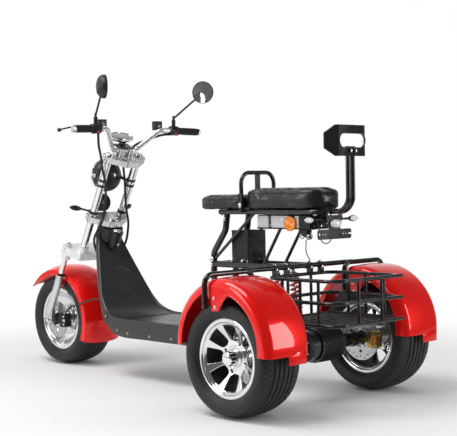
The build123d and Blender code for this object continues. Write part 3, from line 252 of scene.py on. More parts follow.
CAD_FINISH = {
    "front_tyre left_tyre right_tyre": RUBBER,
    "front_rim left_rim right_rim": ALLOY,
    "handlebar": BAR,
    "main_frame seat_frame swing_arm rear_axle carrier_bar seat_hoop basket plate_bracket": BLACK,
    "backrest_frame": GLOSS,
    "left_fender right_fender front_fender": RED,
    "front_seat rear_seat": VINYL,
    "leg_shield neck_cover hand_controls instrument_pod mirrors seat_latch": PLASTIC,
    "controller_box horn brake_levers front_caliper grips": MATT,
    "under_seat_box": GREY_PLASTIC,
    "steering_stem top_clamp fork_sliders": CAST,
    "fork_bridge": BRIDGE,
    "fork_tubes fork_legs front_axle": CHROME,
    "headlight": PLASTIC,
    "front_signals rear_lamps": PLASTIC,
    "side_reflectors": ORANGE,
    "battery": BATTERY,
    "rear_calipers": GOLD,
    "rear_shocks": SPRING,
    "control_cables rear_wires": CABLE,
}
for names, finish in CAD_FINISH.items():
    for name in names.split():
        if name in NODES:
            for slot in NODES[name].material_slots:
                slot.material = finish


# ------------------------------------------------------------------ building
def facing(centre, axis, side=None):
    """A placement whose Z runs along an axis from a centre, and whose X is near a side direction."""
    z = Vector(axis).normalized()
    x = Vector(side) if side else (Vector((0, 0, 1)) if abs(z.z) < 0.9 else Vector((0, 1, 0)))
    x = (x - z * x.dot(z)).normalized()
    y = z.cross(x)
    return Matrix.Translation(centre) @ Matrix((x, y, z)).transposed().to_4x4()


def smooth(points, per=8):
    """A Catmull-Rom curve through points."""
    points = [Vector(p) for p in points]
    padded = [points[0] * 2 - points[1], *points, points[-1] * 2 - points[-2]]
    out = []
    for a, b, c, d in zip(padded, padded[1:], padded[2:], padded[3:]):
        for step in range(per):
            t = step / per
            out.append(0.5 * (2 * b + (c - a) * t + (2 * a - 5 * b + 4 * c - d) * t * t
                              + (3 * b - a - 3 * c + d) * t ** 3))
    return out + [points[-1]]


class Build:
    """Collects shapes, in metres, into one mesh. A mark is the index of a shape's finish."""

    def __init__(self):
        self.verts, self.faces, self.marks = [], [], []

    def grid(self, rows, mark=0, ring=True, closed=False):
        """Quads between rows of points; ring joins a row's ends, closed joins the last row to the first."""
        start, width = len(self.verts), len(rows[0])
        for row in rows:
            self.verts.extend(row)
        count = len(rows)
        for i in range(count if closed else count - 1):
            for j in range(width if ring else width - 1):
                a, b = start + i * width, start + (i + 1) % count * width
                k = (j + 1) % width
                self.faces.append((a + j, a + k, b + k, b + j))
                self.marks.append(mark)

    def cap(self, row, mark=0):
        start = len(self.verts)
        self.verts.extend(row)
        self.faces.append(tuple(range(start, start + len(row))))
        self.marks.append(mark)

    def revolve(self, profile, place, steps=48, mark=0, scale=(1, 1)):
        """A profile of (radius, height) in millimetres, turned about the placement's Z."""
        rows = []
        for radius, height in profile:
            radius = max(radius, 0.01)
            row = []
            for k in range(steps):
                turn = 2 * math.pi * k / steps
                x, y = radius * math.cos(turn) * scale[0], radius * math.sin(turn) * scale[1]
                row.append(place @ Vector((x / 1000, y / 1000, height / 1000)))
            rows.append(row)
        self.grid(rows, mark)

    def tube(self, points, radius, steps=14, mark=0, squash=1.0, across=None):
        """A round or flattened tube along points; radius in millimetres, one number or one for each point."""
        points = [Vector(p) for p in points]
        radii = radius if isinstance(radius, (list, tuple)) else [radius] * len(points)
        side = Vector(across) if across else Vector((0.13, 0.21, 0.97))
        rows = []
        for k, point in enumerate(points):
            along = (points[min(k + 1, len(points) - 1)] - points[max(k - 1, 0)]).normalized()
            side = (side - along * side.dot(along)).normalized()
            other = along.cross(side)
            turn = [2 * math.pi * j / steps for j in range(steps)]
            rows.append([point + (side * math.cos(t) + other * math.sin(t) * squash) * radii[k] / 1000
                         for t in turn])
        self.grid(rows, mark)
        self.cap(rows[0][::-1], mark)
        self.cap(rows[-1], mark)

    def box(self, size, place, bevel=2.0, mark=0, segments=3):
        """A box of a size in millimetres with rounded edges, about the placement's origin."""
        bm = bmesh.new()
        bmesh.ops.create_cube(bm, size=1)
        bmesh.ops.scale(bm, vec=[s / 1000 for s in size], verts=bm.verts)
        bmesh.ops.bevel(bm, geom=bm.edges[:], offset=bevel / 1000, segments=segments, profile=0.5,
            affect="EDGES")
        self.take(bm, place, mark)

    def take(self, bm, place=Matrix.Identity(4), mark=0):
        start = len(self.verts)
        bm.verts.ensure_lookup_table()
        self.verts.extend([place @ v.co for v in bm.verts])
        for face in bm.faces:
            self.faces.append(tuple(start + v.index for v in face.verts))
            self.marks.append(mark)
        bm.free()

    def plate(self, outlines, thick, place, mark=0, bevel=0.4):
        """A plate, in millimetres, of an outline and holes, centred on the placement's XY plane."""
        curve = bpy.data.curves.new("plate", "CURVE")
        curve.dimensions = "2D"
        curve.fill_mode = "BOTH"
        curve.extrude = (thick / 2 - bevel) / 1000
        curve.bevel_depth = bevel / 1000
        curve.offset = -bevel / 1000
        for outline in outlines:
            spline = curve.splines.new("POLY")
            spline.points.add(len(outline) - 1)
            for spot, (x, y) in zip(spline.points, outline):
                spot.co = (x / 1000, y / 1000, 0, 1)
            spline.use_cyclic_u = True
        holder = bpy.data.objects.new("plate", curve)
        mesh = bpy.data.meshes.new_from_object(holder)
        bm = bmesh.new()
        bm.from_mesh(mesh)
        self.take(bm, place, mark)
        bpy.data.objects.remove(holder)
        bpy.data.curves.remove(curve)
        bpy.data.meshes.remove(mesh)

    def bolt(self, centre, axis, size=6, mark=0, washer=True, hexed=True):
        """A bolt head on its washer; size is its half width in millimetres."""
        place = facing(centre, axis)
        if washer:
            self.revolve([(size * 1.5, -1), (size * 1.5, 0.8), (size * 1.4, 1.2), (0, 1.2)], place, 24, mark)
        head = [(size, 0), (size, size * 0.7), (size * 0.85, size * 0.85), (size * 0.4, size * 0.9),
            (size * 0.35, size * 0.4), (0, size * 0.4)]
        self.revolve(head, place, 6 if hexed else 20, mark)

    def make(self, name, finishes, body, sharp=38, fuse=False):
        """The piece itself, riding on a body."""
        mesh = bpy.data.meshes.new(name)
        mesh.from_pydata([tuple(v) for v in self.verts], [], self.faces)
        for finish in finishes if isinstance(finishes, (list, tuple)) else [finishes]:
            mesh.materials.append(finish)
        mesh.polygons.foreach_set("material_index", self.marks)
        if fuse:
            bm = bmesh.new()
            bm.from_mesh(mesh)
            bmesh.ops.remove_doubles(bm, verts=bm.verts, dist=0.00002)
            bmesh.ops.recalc_face_normals(bm, faces=bm.faces)
            bm.to_mesh(mesh)
            bm.free()
        mesh.update()
        mesh.shade_smooth()
        mesh.set_sharp_from_angle(angle=math.radians(sharp))
        obj = bpy.data.objects.new(name, mesh)
        bpy.context.collection.objects.link(obj)
        if body:
            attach(obj, body)
        return obj


def circle(radius, count=48, x=0, y=0):
    """The points of a circle in millimetres."""
    turns = [2 * math.pi * k / count for k in range(count)]
    return [(x + radius * math.cos(t), y + radius * math.sin(t)) for t in turns]


def rounded_box(width, height, corner, x=0, y=0, count=6):
    """The points of a rectangle with round corners."""
    out = []
    for cx, cy, start in ((1, 1, 0), (-1, 1, 90), (-1, -1, 180), (1, -1, 270)):
        for k in range(count + 1):
            t = math.radians(start + 90 * k / count)
            out.append((x + cx * (width / 2 - corner) + corner * math.cos(t),
                y + cy * (height / 2 - corner) + corner * math.sin(t)))
    return out


def applied(obj):
    """The piece with its modifiers made part of its mesh."""
    made = bpy.data.meshes.new_from_object(obj.evaluated_get(bpy.context.evaluated_depsgraph_get()))
    obj.modifiers.clear()
    obj.data = made
    return obj


# ------------------------------------------------------------------ wheels
TYRE_RADIUS, RIM_RADIUS = 217, 147
WHEELS = {
    "front": ((0, -1575), 92, 75, 1, "front_wheel"),
    "left": ((383.5, 0), 99, 78, 1, "rear_left_wheel"),
    "right": ((-383.5, 0), 99, 78, -1, "rear_right_wheel"),
}


GROOVES = (-46, -23, 0, 23, 46)
SHOULDER_CUTS = 58
CENTRE_CUTS = 22
TYRE_STEPS = SHOULDER_CUTS * 6


def tyre_profile(half, lip):
    """Half widths and radii from the left bead to the crown, as (axial, radius, tread share)."""
    bead, top = RIM_RADIUS + 1, TYRE_RADIUS
    side = [(lip - 7, bead - 1), (lip - 1, bead + 0.5), (lip + 4, bead + 4), (half - 8, 158),
        (half - 1.5, 170), (half, 181), (half - 2, 193), (half - 7, 202)]
    out = [(p.x, p.y, 0) for p in smooth([(a, r, 0) for a, r in side], 4)][:-1]
    edge = half - 9
    marks = {-edge, -52, 52, edge}
    for line in GROOVES:
        marks.update(line + step for step in (-3.6, -2.4, 0, 2.4, 3.6))
    marks = sorted(marks, reverse=True)
    across = [marks[0]]
    for start, end in zip(marks, marks[1:]):
        pieces = math.ceil((start - end) / 3.2)
        across += [start + (end - start) * (k + 1) / pieces for k in range(pieces)]
    tread = [(a, top - 13.5 * (abs(a) / edge) ** 2.6, 1) for a in across]
    return out + tread + [(-a, r, t) for a, r, t in reversed(out)]


def tread_depth(a, turn):
    """How deep the tread is cut at a place across the tyre and a turn round it, in millimetres."""
    depth = 0
    for line in GROOVES:
        gap = abs(a - line)
        depth = max(depth, 4.5 * max(0, min(1, (3.6 - gap) / 1.2)))
    outer = abs(a) - 52
    if outer > 0:
        phase = (turn * SHOULDER_CUTS / (2 * math.pi) + outer * 0.022) % 1
        depth = max(depth, 2.6 * max(0, min(1, (0.13 - abs(phase - 0.5)) / 0.05)) * min(1, outer / 4))
    elif abs(abs(a) - 34.5) < 11.5:
        phase = (turn * CENTRE_CUTS / (2 * math.pi) + (abs(a) - 23) * 0.03) % 1
        depth = max(depth, 2.4 * max(0, min(1, (0.045 - abs(phase - 0.5)) / 0.02)))
    return depth


def tyre(name):
    (x, y), half, lip, _, body = WHEELS[name]
    profile = tyre_profile(half, lip)
    rows, steps = [], TYRE_STEPS
    for a, r, tread in profile:
        row = []
        for k in range(steps):
            turn = 2 * math.pi * k / steps
            radius = r - (tread_depth(a, turn) if tread else 0)
            if not tread and 157 < r < 197:
                radius += 0.9 * (abs((r - 157) / 13 % 1 - 0.5) < 0.08)
            row.append(at(x + a, y + radius * math.cos(turn), TYRE_RADIUS + radius * math.sin(turn)))
        rows.append(row)
    shape = Build()
    shape.grid(rows)
    obj = shape.make(f"{name}_tyre_tread", RUBBER, body, sharp=50)
    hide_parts(f"{name}_tyre")


for name in WHEELS:
    tyre(name)


def drilled_disc(shape, place, radius, inner, mark):
    """A brake disc with two staggered rows of holes."""
    holes = [circle(inner, 32)]
    for k in range(24):
        turn = 2 * math.pi * k / 24
        reach = radius - (9 if k % 2 else 17)
        holes.append(circle(3.4, 10, reach * math.cos(turn), reach * math.sin(turn)))
    for k in range(6):
        turn = 2 * math.pi * (k + 0.5) / 6
        reach = (inner + radius - 26) / 2 + 2
        holes.append(circle(6.5, 14, reach * math.cos(turn), reach * math.sin(turn)))
    shape.plate([circle(radius, 72), *holes], 4, place, mark)


def rim_edges(shape, place, lip):
    """The polished flanges, each side, and the black barrel between them."""
    for side in (1, -1):
        edge = [(121, lip - 16), (124, lip - 11), (130.5, lip - 8), (132, lip - 4), (135, lip - 0.6),
            (138, lip), (144, lip),
                (147, lip - 1.4), (147.6, lip - 4), (147.4, lip - 9), (140, lip - 10)]
        shape.revolve([(r, side * h) for r, h in edge], place, 120, 0)
    shape.revolve([(122, lip - 15), (121, lip - 22), (121, 16 - lip), (121.5, 15 - lip)], place, 96, 1)
    shape.revolve([(131, lip - 9), (128, lip - 20), (128, 20 - lip), (131, 9 - lip)], place, 96, 1)


def rear_rim(name):
    (x, y), _, lip, out, body = WHEELS[name]
    place = facing(at(x, y, TYRE_RADIUS), (out, 0, 0), (0, 1, 0))
    spokes = Build()
    half_step = math.pi / 8
    rows = [(26, 0), (40, 0), (54, 0), (61, 0), (62, 7), (64.5, 13), (69, 18), (76, 21.5), (86, 23.5),
        (98, 25.6),
            (110, 27.6), (118, 28.6), (122.5, 27), (125, 22), (126.3, 12), (127, 0), (131.5, 0)]
    rings = []
    for r, opening in rows:
        t = max(0, min(1, (r - 60) / 67))
        h = lip - 46 + 36 * t ** 1.25 + 2.4 * math.sin(math.pi * t)
        ring = []
        free = half_step - math.asin(opening / r)
        for k in range(8):
            for j in range(9):
                lean = -1 + j / 4
                turn = 2 * math.pi * (k + 0.5) / 8 + lean * free
                edge_drop = 1.6 * abs(lean) ** 4 if opening else 0
                ring.append(place @ Vector((r * math.cos(turn) / 1000, r * math.sin(turn) / 1000,
                    (h - edge_drop) / 1000)))
        rings.append(ring)
    for i in range(len(rings) - 1):
        for k in range(8):
            spokes.grid([rings[i][9 * k: 9 * k + 9], rings[i + 1][9 * k: 9 * k + 9]], ring=False)
    face = spokes.make(f"{name}_rim_spokes", ALLOY, None, sharp=60, fuse=True)
    solid = face.modifiers.new("wall", "SOLIDIFY")
    solid.thickness = 0.013
    solid.offset = -1 if face.data.polygons[0].normal.x * out > 0 else 1
    rounding = face.modifiers.new("round", "SUBSURF")
    rounding.levels = rounding.render_levels = 2
    applied(face)
    face.data.shade_smooth()
    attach(face, body)
    shape = Build()
    rim_edges(shape, place, lip)
    base = lip - 46
    shape.revolve([(33, base - 1), (33, base + 5), (31, base + 7), (28.5, base + 8), (28, base + 36),
        (26, base + 43),
                   (20, base + 47), (12, base + 48.5), (0, base + 49)], place, 40, 2)
    shape.revolve([(46, base - 0.5), (46, base + 1.2), (44.5, base + 2), (38, base + 2), (36.5, base + 1),
        (36.5, base - 1)], place, 48, 0)
    shape.revolve([(34, base - 13), (34, 12 - lip), (45, 10 - lip), (45, -lip - 12), (30, -lip - 14),
        (30, -lip - 16)], place, 40, 3)
    # painted shade: each lug recess is a matt black disc round its nut on the spoke face, not a cut hole
    for k in range(4):
        turn = math.radians(67.5 + 90 * k)
        spot = place @ Matrix.Translation((0.057 * math.cos(turn), 0.057 * math.sin(turn),
            (base - 0.5) / 1000))
        shape.revolve([(9, 0), (9, 1.4), (8, 1.6), (7.6, 0.9), (0, 0.9)], spot, 24, 1)
        shape.revolve([(5.6, 0.5), (5.6, 5), (4.6, 6), (0, 6)], spot, 6, 2)
    drilled_disc(shape, place @ Matrix.Translation((0, 0, (-lip - 16) / 1000)), 92, 40, 3)
    for k in range(5):
        turn = 2 * math.pi * k / 5
        spot = place @ Matrix.Translation((0.036 * math.cos(turn), 0.036 * math.sin(turn),
            (-lip - 14) / 1000)) @ Matrix.Rotation(math.pi, 4, "X")
        shape.revolve([(5, 0), (5, 5), (3, 5), (0, 4)], spot, 6, 2)
    obj = shape.make(f"{name}_rim_barrel", [ALLOY, MATT, CHROME, STEEL], body)
    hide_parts(f"{name}_rim")


def front_rim():
    (x, y), _, lip, _, body = WHEELS["front"]
    place = facing(at(x, y, TYRE_RADIUS), (1, 0, 0), (0, 1, 0))
    shape = Build()
    rim_edges(shape, place, lip)
    bowl = [(131, lip - 8), (126, lip - 12), (119, lip - 21), (108, lip - 34), (94, lip - 43), (80, lip - 46),
        (62, lip - 46), (60, lip - 44),
            (46, lip - 43), (44, lip - 40), (38, lip - 38), (34, lip - 34), (34, lip + 12), (46, lip + 13.5)]
    for side in (1, -1):
        shape.revolve([(r, side * h) for r, h in bowl], place, 96, 0)
    shape.revolve([(34, lip + 12), (34, lip + 18.5), (31, lip + 20), (14, lip + 20), (9, lip + 24)], place,
        40, 2)
    drilled_disc(shape, place @ Matrix.Translation((0, 0, (lip + 16) / 1000)), 87, 40, 3)
    for k in range(5):
        turn = 2 * math.pi * k / 5
        spot = place @ Matrix.Translation((0.0375 * math.cos(turn), 0.0375 * math.sin(turn),
            (lip + 18) / 1000))
        shape.revolve([(4.6, 0), (4.6, 3.4), (2.6, 3.6), (2.4, 1.6), (0, 1.6)], spot, 6, 2)
    for k in range(4):
        turn = math.radians(45 + 90 * k)
        spot = place @ Matrix.Translation((0.072 * math.cos(turn), 0.072 * math.sin(turn), (lip - 46) / 1000))
        shape.revolve([(8, 0), (8, 5), (6, 6), (0, 6)], spot, 6, 2)
    obj = shape.make("front_rim_bowl", [ALLOY, MATT, CHROME, STEEL], body)
    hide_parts("front_rim")


rear_rim("left")
rear_rim("right")
front_rim()


# ------------------------------------------------------------------ fenders
def skirt_edge(y, base, lobe):
    """The radius of a rear fender's lower edge at a Y behind the axle; it drops where the lobe hangs."""
    if not lobe:
        return base
    front, rear, low = -58, 62, 133
    rise_front = max(0, min(1, (y - front) / 16))
    rise_rear = max(0, min(1, (rear - y) / 60))
    ease = lambda t: t * t * (3 - 2 * t)
    return base - (base - low) * min(ease(rise_front) ** 0.6, ease(rise_rear))


def rear_fender(name, x):
    """A rolled and painted fender, with its lobe at the left skirt and its flap at the rear."""
    centre_z, crown, bend = 262, 250, 34
    rows = []
    angles = [-5 + 187 * k / 150 for k in range(151)]
    for degrees in angles:
        turn = math.radians(degrees)
        step = 8 * max(0, min(1, (degrees - 101) / 4))
        left, right = x + 118 - step, x - 106
        section = []
        low_left = skirt_edge(math.cos(turn) * 195, 200 + step, True)
        low_right = 200
        for k in range(13):
            section.append((left + 0.6 * math.sin(k / 12 * math.pi),
                low_left + (crown - bend - low_left) * k / 12))
        for k in range(1, 12):
            t = math.pi / 2 * k / 12
            section.append((left - bend + bend * math.cos(t),
                crown - bend - 3 * math.sin(t) + bend * math.sin(t)))
        for k in range(25):
            u = k / 24
            a = left - bend + (right + bend - left + bend) * u
            section.append((a, crown - 3 + 3 * math.sin(math.pi * u)))
        for k in range(11, 0, -1):
            t = math.pi / 2 * k / 12
            section.append((right + bend - bend * math.cos(t),
                crown - bend - 3 * math.sin(t) + bend * math.sin(t)))
        for k in range(12, -1, -1):
            section.append((right - 0.6 * math.sin(k / 12 * math.pi),
                low_right + (crown - bend - low_right) * k / 12))
        rows.append([at(a, r * math.cos(turn), centre_z + r * math.sin(turn)) for a, r in section])
    skin = Build()
    skin.grid(rows, ring=False)
    obj = skin.make(name + "_skin", RED, None, sharp=70)
    solid = obj.modifiers.new("wall", "SOLIDIFY")
    solid.thickness = 0.0035
    solid.offset = -1
    applied(obj)
    obj.data.shade_smooth()
    obj.data.set_sharp_from_angle(angle=math.radians(60))
    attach(obj, "chassis")
    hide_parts(name)
    trim = Build()
    for side, low in ((x + 118, 200), (x - 106, 200)):
        edge = []
        for degrees in angles:
            turn = math.radians(degrees)
            step = 8 * max(0, min(1, (degrees - 101) / 4)) if side > x else 0
            r = skirt_edge(math.cos(turn) * 195, low + step, side > x)
            edge.append(at(side - step - (2 if side > x else -2), r * math.cos(turn),
                centre_z + r * math.sin(turn)))
        trim.tube(edge, 2.6, 8)
    flap_y = 250 - 3.5 / 2
    trim.box((90, 3.4, 46), Matrix.Translation(at(x - 35, flap_y - 1, 231)), 1.4)
    lobe_x = x + 118
    for y, z in ((-16, 438), (-11, 406)):
        trim.bolt(at(lobe_x + 0.4, y, z), (1, 0, 0), 4.2, 1)
    bead = trim.make(name + "_edges", [RED, CAST], "chassis")


rear_fender("left_fender", 383.5)
rear_fender("right_fender", -383.5)


def front_fender():
    """The front fender: a rolled arch whose skirt tapers away at its front tip."""
    half, crown, edge, lip = 103, 260, 238, 214
    start, arc = -23, 164
    rows = []
    for k in range(121):
        degrees = start + arc * k / 120
        turn = math.radians(degrees)
        taper = max(0, min(1, (degrees - 115) / 26))
        low = lip + (edge - lip) * taper
        section = []
        for j in range(7):
            section.append((half, low + (edge - low) * j / 6))
        for j in range(1, 32):
            u = -1 + 2 * j / 32
            t = math.copysign(abs(u) ** 0.85, u)
            section.append((-half * t, edge + (crown - edge) * (1 - abs(t) ** 2.6)))
        for j in range(6, -1, -1):
            section.append((-half, low + (edge - low) * j / 6))
        rows.append([at(a, -1575 + r * math.cos(turn), 217 + r * math.sin(turn)) for a, r in section])
    skin = Build()
    skin.grid(rows, ring=False)
    obj = skin.make("front_fender_skin", RED, None, sharp=70)
    solid = obj.modifiers.new("wall", "SOLIDIFY")
    solid.thickness = 0.0035
    solid.offset = -1
    applied(obj)
    obj.data.shade_smooth()
    obj.data.set_sharp_from_angle(angle=math.radians(60))
    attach(obj, "steering")
    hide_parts("front_fender")
    trim = Build()
    for side in (1, -1):
        trim.tube([row[0] if side > 0 else row[-1] for row in rows], 2.4, 8)
        place = facing(steer(side * 104, -105, -388), (side, 0, 0), STEER_Z)
        trim.plate([rounded_box(74, 34, 8)], 3, place, 0)
        for z in (-366, -410):
            trim.bolt(steer(side * 105.4, -98, z), (side, 0, 0), 4.5, 1)
    bead = trim.make("front_fender_edges", [RED, CAST], "steering")


front_fender()


# ------------------------------------------------------------------ leg shield
def along(points, count):
    """Points evenly spaced by length along a smooth curve through points of (y, z)."""
    fine = [(p.x, p.y) for p in smooth([(y, z, 0) for y, z in points], 24)]
    lengths = [0]
    for a, b in zip(fine, fine[1:]):
        lengths.append(lengths[-1] + math.dist(a, b))
    out = []
    k = 0
    for step in range(count):
        goal = lengths[-1] * step / (count - 1)
        while k < len(fine) - 2 and lengths[k + 1] < goal:
            k += 1
        t = (goal - lengths[k]) / max(1e-9, lengths[k + 1] - lengths[k])
        out.append((fine[k][0] + (fine[k + 1][0] - fine[k][0]) * t,
            fine[k][1] + (fine[k + 1][1] - fine[k][1]) * t))
    return out


def between(table, value):
    """A table of (value, result) pairs, read by straight lines."""
    for (a, ra), (b, rb) in zip(table, table[1:]):
        if min(a, b) <= value <= max(a, b):
            return ra + (rb - ra) * (value - a) / (b - a)
    return table[0][1] if abs(value - table[0][0]) < abs(value - table[-1][0]) else table[-1][1]


def leg_shield():
    rider = [(-1268, 640), (-1258, 600), (-1240, 553), (-1199, 462), (-1150, 362), (-1118, 320), (-1085, 293),
        (-1045, 276),
             (-1000, 268), (-900, 267), (-780, 267), (-660, 267), (-545, 268)]
    front = [(-1296, 640), (-1281, 595), (-1262, 548), (-1217, 448), (-1165, 350), (-1142, 310), (-1106, 262),
        (-1074, 228),
             (-1030, 200), (-960, 186), (-820, 186), (-680, 186), (-545, 186)]
    widths = [(640, 60), (610, 66), (553, 85), (460, 113), (362, 143), (300, 158), (268, 172), (100, 172)]
    count = 300
    top, low = along(rider, count), along(front, count)
    across = [k / 40 for k in range(41)]
    rows = []
    for i in range(count):
        (ry, rz), (fy, fz) = top[i], low[i]
        ay, az = top[max(i - 1, 0)]
        by, bz = top[min(i + 1, count - 1)]
        length = math.hypot(by - ay, bz - az)
        ny, nz = -(bz - az) / length, (by - ay) / length
        if nz < 0:
            ny, nz = -ny, -nz
        if rz > 275:
            ny, nz = abs(ny), abs(nz)
        half = between(widths, rz)
        low_half = min(172, between(widths, max(fz, 268 if ry > -1000 else fz)))
        row = []
        for u in across:
            x = (half - 13) * u
            lift = -5.5
            for reach, middle in ((74, 415), (50, 330), (26, 268)):
                gap = abs(math.hypot(x, (rz - middle) * 1.25 if rz > 269 else 999) - reach)
                if rz > 285 and middle > 270:
                    lift -= 1.8 * max(0, 1 - gap / 4.5) * (1 if rz > middle - reach * 0.1 else 0)
            if abs(x) < 96 and rz > 330 and abs(between([(330, 104), (480, 80), (600, 40)], rz) - x) < 4:
                lift -= 1.5
            if ry > -975 and ry < -560 and x < 140:
                lift += 0.9 if (int((x + 4) / 11) % 2 == 0 and int((ry + 2000) / 13) % 4 != 0) else 0
            row.append((x, ry + ny * lift, rz + nz * lift))
        for k in range(1, 9):
            t = k / 8
            x = half - 13 + 13 * (1 - math.cos(math.pi / 2 * t)) ** 0.8
            lift = -5.5 + 5.5 * math.sin(math.pi / 2 * min(1, t * 1.6))
            if t > 0.7:
                lift -= 3.0 * ((t - 0.7) / 0.3) ** 2
            row.append((half - 13 + 13 * t, ry + ny * lift, rz + nz * lift))
        for k in range(1, 15):
            t = k / 14
            y = ry + (fy - ry) * t
            z = rz + (fz - rz) * t
            x = half + (low_half - half) * t
            bulge = 2.5 * math.sin(math.pi * t)
            seam = -1.6 if abs(t - 0.5) < 0.04 else 0
            row.append((x + bulge + seam - (1.5 if k == 1 else 0), y - ny * 2 * (1 - t),
                z - nz * 2 * (1 - t)))
        x, y, z = row[-1]
        row.append((x - 6, y + ny * 2, z + nz * 1))
        rows.append([at(-px, py, pz) for px, py, pz in reversed(row[1:])] + [at(px, py, pz) for px, py,
            pz in row])
    skin = Build()
    skin.grid(rows, ring=False)
    obj = skin.make("leg_shield_moulding", SHIELD, None, sharp=60)
    solid = obj.modifiers.new("wall", "SOLIDIFY")
    solid.thickness = 0.003
    solid.offset = -1
    applied(obj)
    obj.data.shade_smooth()
    obj.data.set_sharp_from_angle(angle=math.radians(50))
    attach(obj, "chassis")
    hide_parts("leg_shield")
    trim = Build()
    for side in (1, -1):
        for y, z in ((-1004, 214), (-930, 205), (-780, 204), (-640, 206), (-1085, 270)):
            trim.bolt(at(side * 173.6, y, z), (side, 0, 0), 3.6, 0, washer=True, hexed=False)
    screws = trim.make("leg_shield_screws", BRASS, "chassis")


leg_shield()


# ------------------------------------------------------------------ seats
def rounded(points, corner, count=7):
    """A closed outline whose corners are rounded."""
    out = []
    for k, spot in enumerate(points):
        here, before, after = Vector(spot), Vector(points[k - 1]), Vector(points[(k + 1) % len(points)])
        reach = min(corner, (before - here).length * 0.45, (after - here).length * 0.45)
        a, b = here + (before - here).normalized() * reach, here + (after - here).normalized() * reach
        for j in range(count + 1):
            t = j / count
            out.append(a * (1 - t) ** 2 + here * 2 * t * (1 - t) + b * t * t)
    return out


def around(obj, centre, height, band=0.004, count=160):
    """The outermost points of a form at a height, one for each direction from its centre."""
    best = [None] * count
    for vertex in obj.data.vertices:
        spot = vertex.co
        if abs(spot.z - height) > band:
            continue
        dx, dy = spot.x - centre[0], spot.y - centre[1]
        k = int((math.atan2(dy, dx) / (2 * math.pi) % 1) * count) % count
        reach = math.hypot(dx, dy)
        if best[k] is None or reach > best[k][0]:
            best[k] = (reach, spot.x, spot.y)
    loop = [Vector((b[1], b[2], height)) for b in best if b]
    for step in range(3):
        loop = [(loop[k - 1] + loop[k] * 2 + loop[(k + 1) % len(loop)]) / 4 for k in range(len(loop))]
    return loop


def cushion(name, outline, low, high, seam):
    """A stuffed vinyl seat: sewn from a top and a side band, with piping on its seam."""
    loop = rounded([*outline, *[(-x, y) for x, y in reversed(outline)]], 34)
    middle = sum((p for p in loop), Vector((0, 0))) / len(loop)
    shape = Build()
    rows = []
    steps = [(8, low + 1), (4, low + 4), (3.5, (low + high) / 2), (4, seam), (6, high - 7), (12, high - 3),
        (26, high - 0.8), (50, high)]
    for inset, z in steps:
        row = []
        for p in loop:
            away = p - middle
            row.append(at(*(p - away.normalized() * min(inset, away.length * 0.9)), z))
        rows.append(row)
    shape.grid(rows)
    shape.cap(rows[0][::-1])
    shape.cap(rows[-1])
    obj = shape.make(name, VINYL, None)
    mesh = obj.modifiers.new("voxels", "REMESH")
    mesh.mode = "VOXEL"
    mesh.voxel_size = 0.006
    applied(obj)
    soften = obj.modifiers.new("soften", "SMOOTH")
    soften.factor = 0.5
    soften.iterations = 4
    applied(obj)
    before = [v.co.copy() for v in obj.data.vertices]
    cloth = obj.modifiers.new("cloth", "CLOTH")
    cloth.settings.quality = 3
    cloth.settings.use_pressure = True
    cloth.settings.uniform_pressure_force = 4
    cloth.settings.effector_weights.gravity = 0
    cloth.settings.tension_stiffness = cloth.settings.compression_stiffness = 25
    cloth.point_cache.frame_start, cloth.point_cache.frame_end = 1, 20
    for step in range(1, 21):
        bpy.context.scene.frame_set(step)
    applied(obj)
    bpy.context.scene.frame_set(1)
    for vertex, start in zip(obj.data.vertices, before):
        move = vertex.co - start
        if move.length > 0.008:
            vertex.co = start + move.normalized() * 0.008
    finer = obj.modifiers.new("finer", "SUBSURF")
    finer.levels = finer.render_levels = 1
    applied(obj)
    centre = at(*middle, 0)
    ways = [v.normal.copy() for v in obj.data.vertices]
    for vertex, normal in zip(obj.data.vertices, ways):
        p = vertex.co.copy()
        x, y, z = p.x, p.y, p.z * 1000
        side = 1 - abs(normal.z)
        p += normal * (-0.0022 * math.exp(-((z - seam) / 3.2) ** 2) * side)
        turn = math.atan2(y - centre.y, x - centre.x)
        fold = noise.noise(Vector((turn * 9, z / 90, 3.1 + low / 100)))
        pucker = noise.noise(Vector((x * 26, y * 15, 7.7)))
        edge = math.exp(-((z - seam) / 13) ** 2)
        p += normal * (0.0016 * fold * side * edge + 0.0017 * pucker * max(0, normal.z))
        p.z = max(p.z, low / 1000)
        vertex.co = p
    obj.data.shade_smooth()
    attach(obj, "chassis")
    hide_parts(name.replace("_cushion", ""))
    piping = Build()
    for z, inset in ((seam, 0.0008), (low + 8, 0.0012)):
        ring = around(obj, centre, z / 1000)
        ring = [p + (p - Vector((centre.x, centre.y, p.z))).normalized() * -inset for p in ring]
        turns = [2 * math.pi * j / 8 for j in range(8)]
        rows = []
        for k, p in enumerate(ring):
            along = (ring[(k + 1) % len(ring)] - ring[k - 1]).normalized()
            out = along.cross(Vector((0, 0, 1)))
            rows.append([p + (out * math.cos(t) + Vector((0, 0, 1)) * math.sin(t)) * 0.0021 for t in turns])
        piping.grid(rows, closed=True)
    made = piping.make(name + "_piping", PIPING, "chassis")
    return obj


cushion("front_seat_cushion", [(40, -562), (88, -542), (106, -480), (106, -400), (88, -291)], 745.6, 797, 786)
cushion("rear_seat_cushion", [(84, -280), (94, -236), (94, 40), (68, 106)], 745.6, 821, 808)



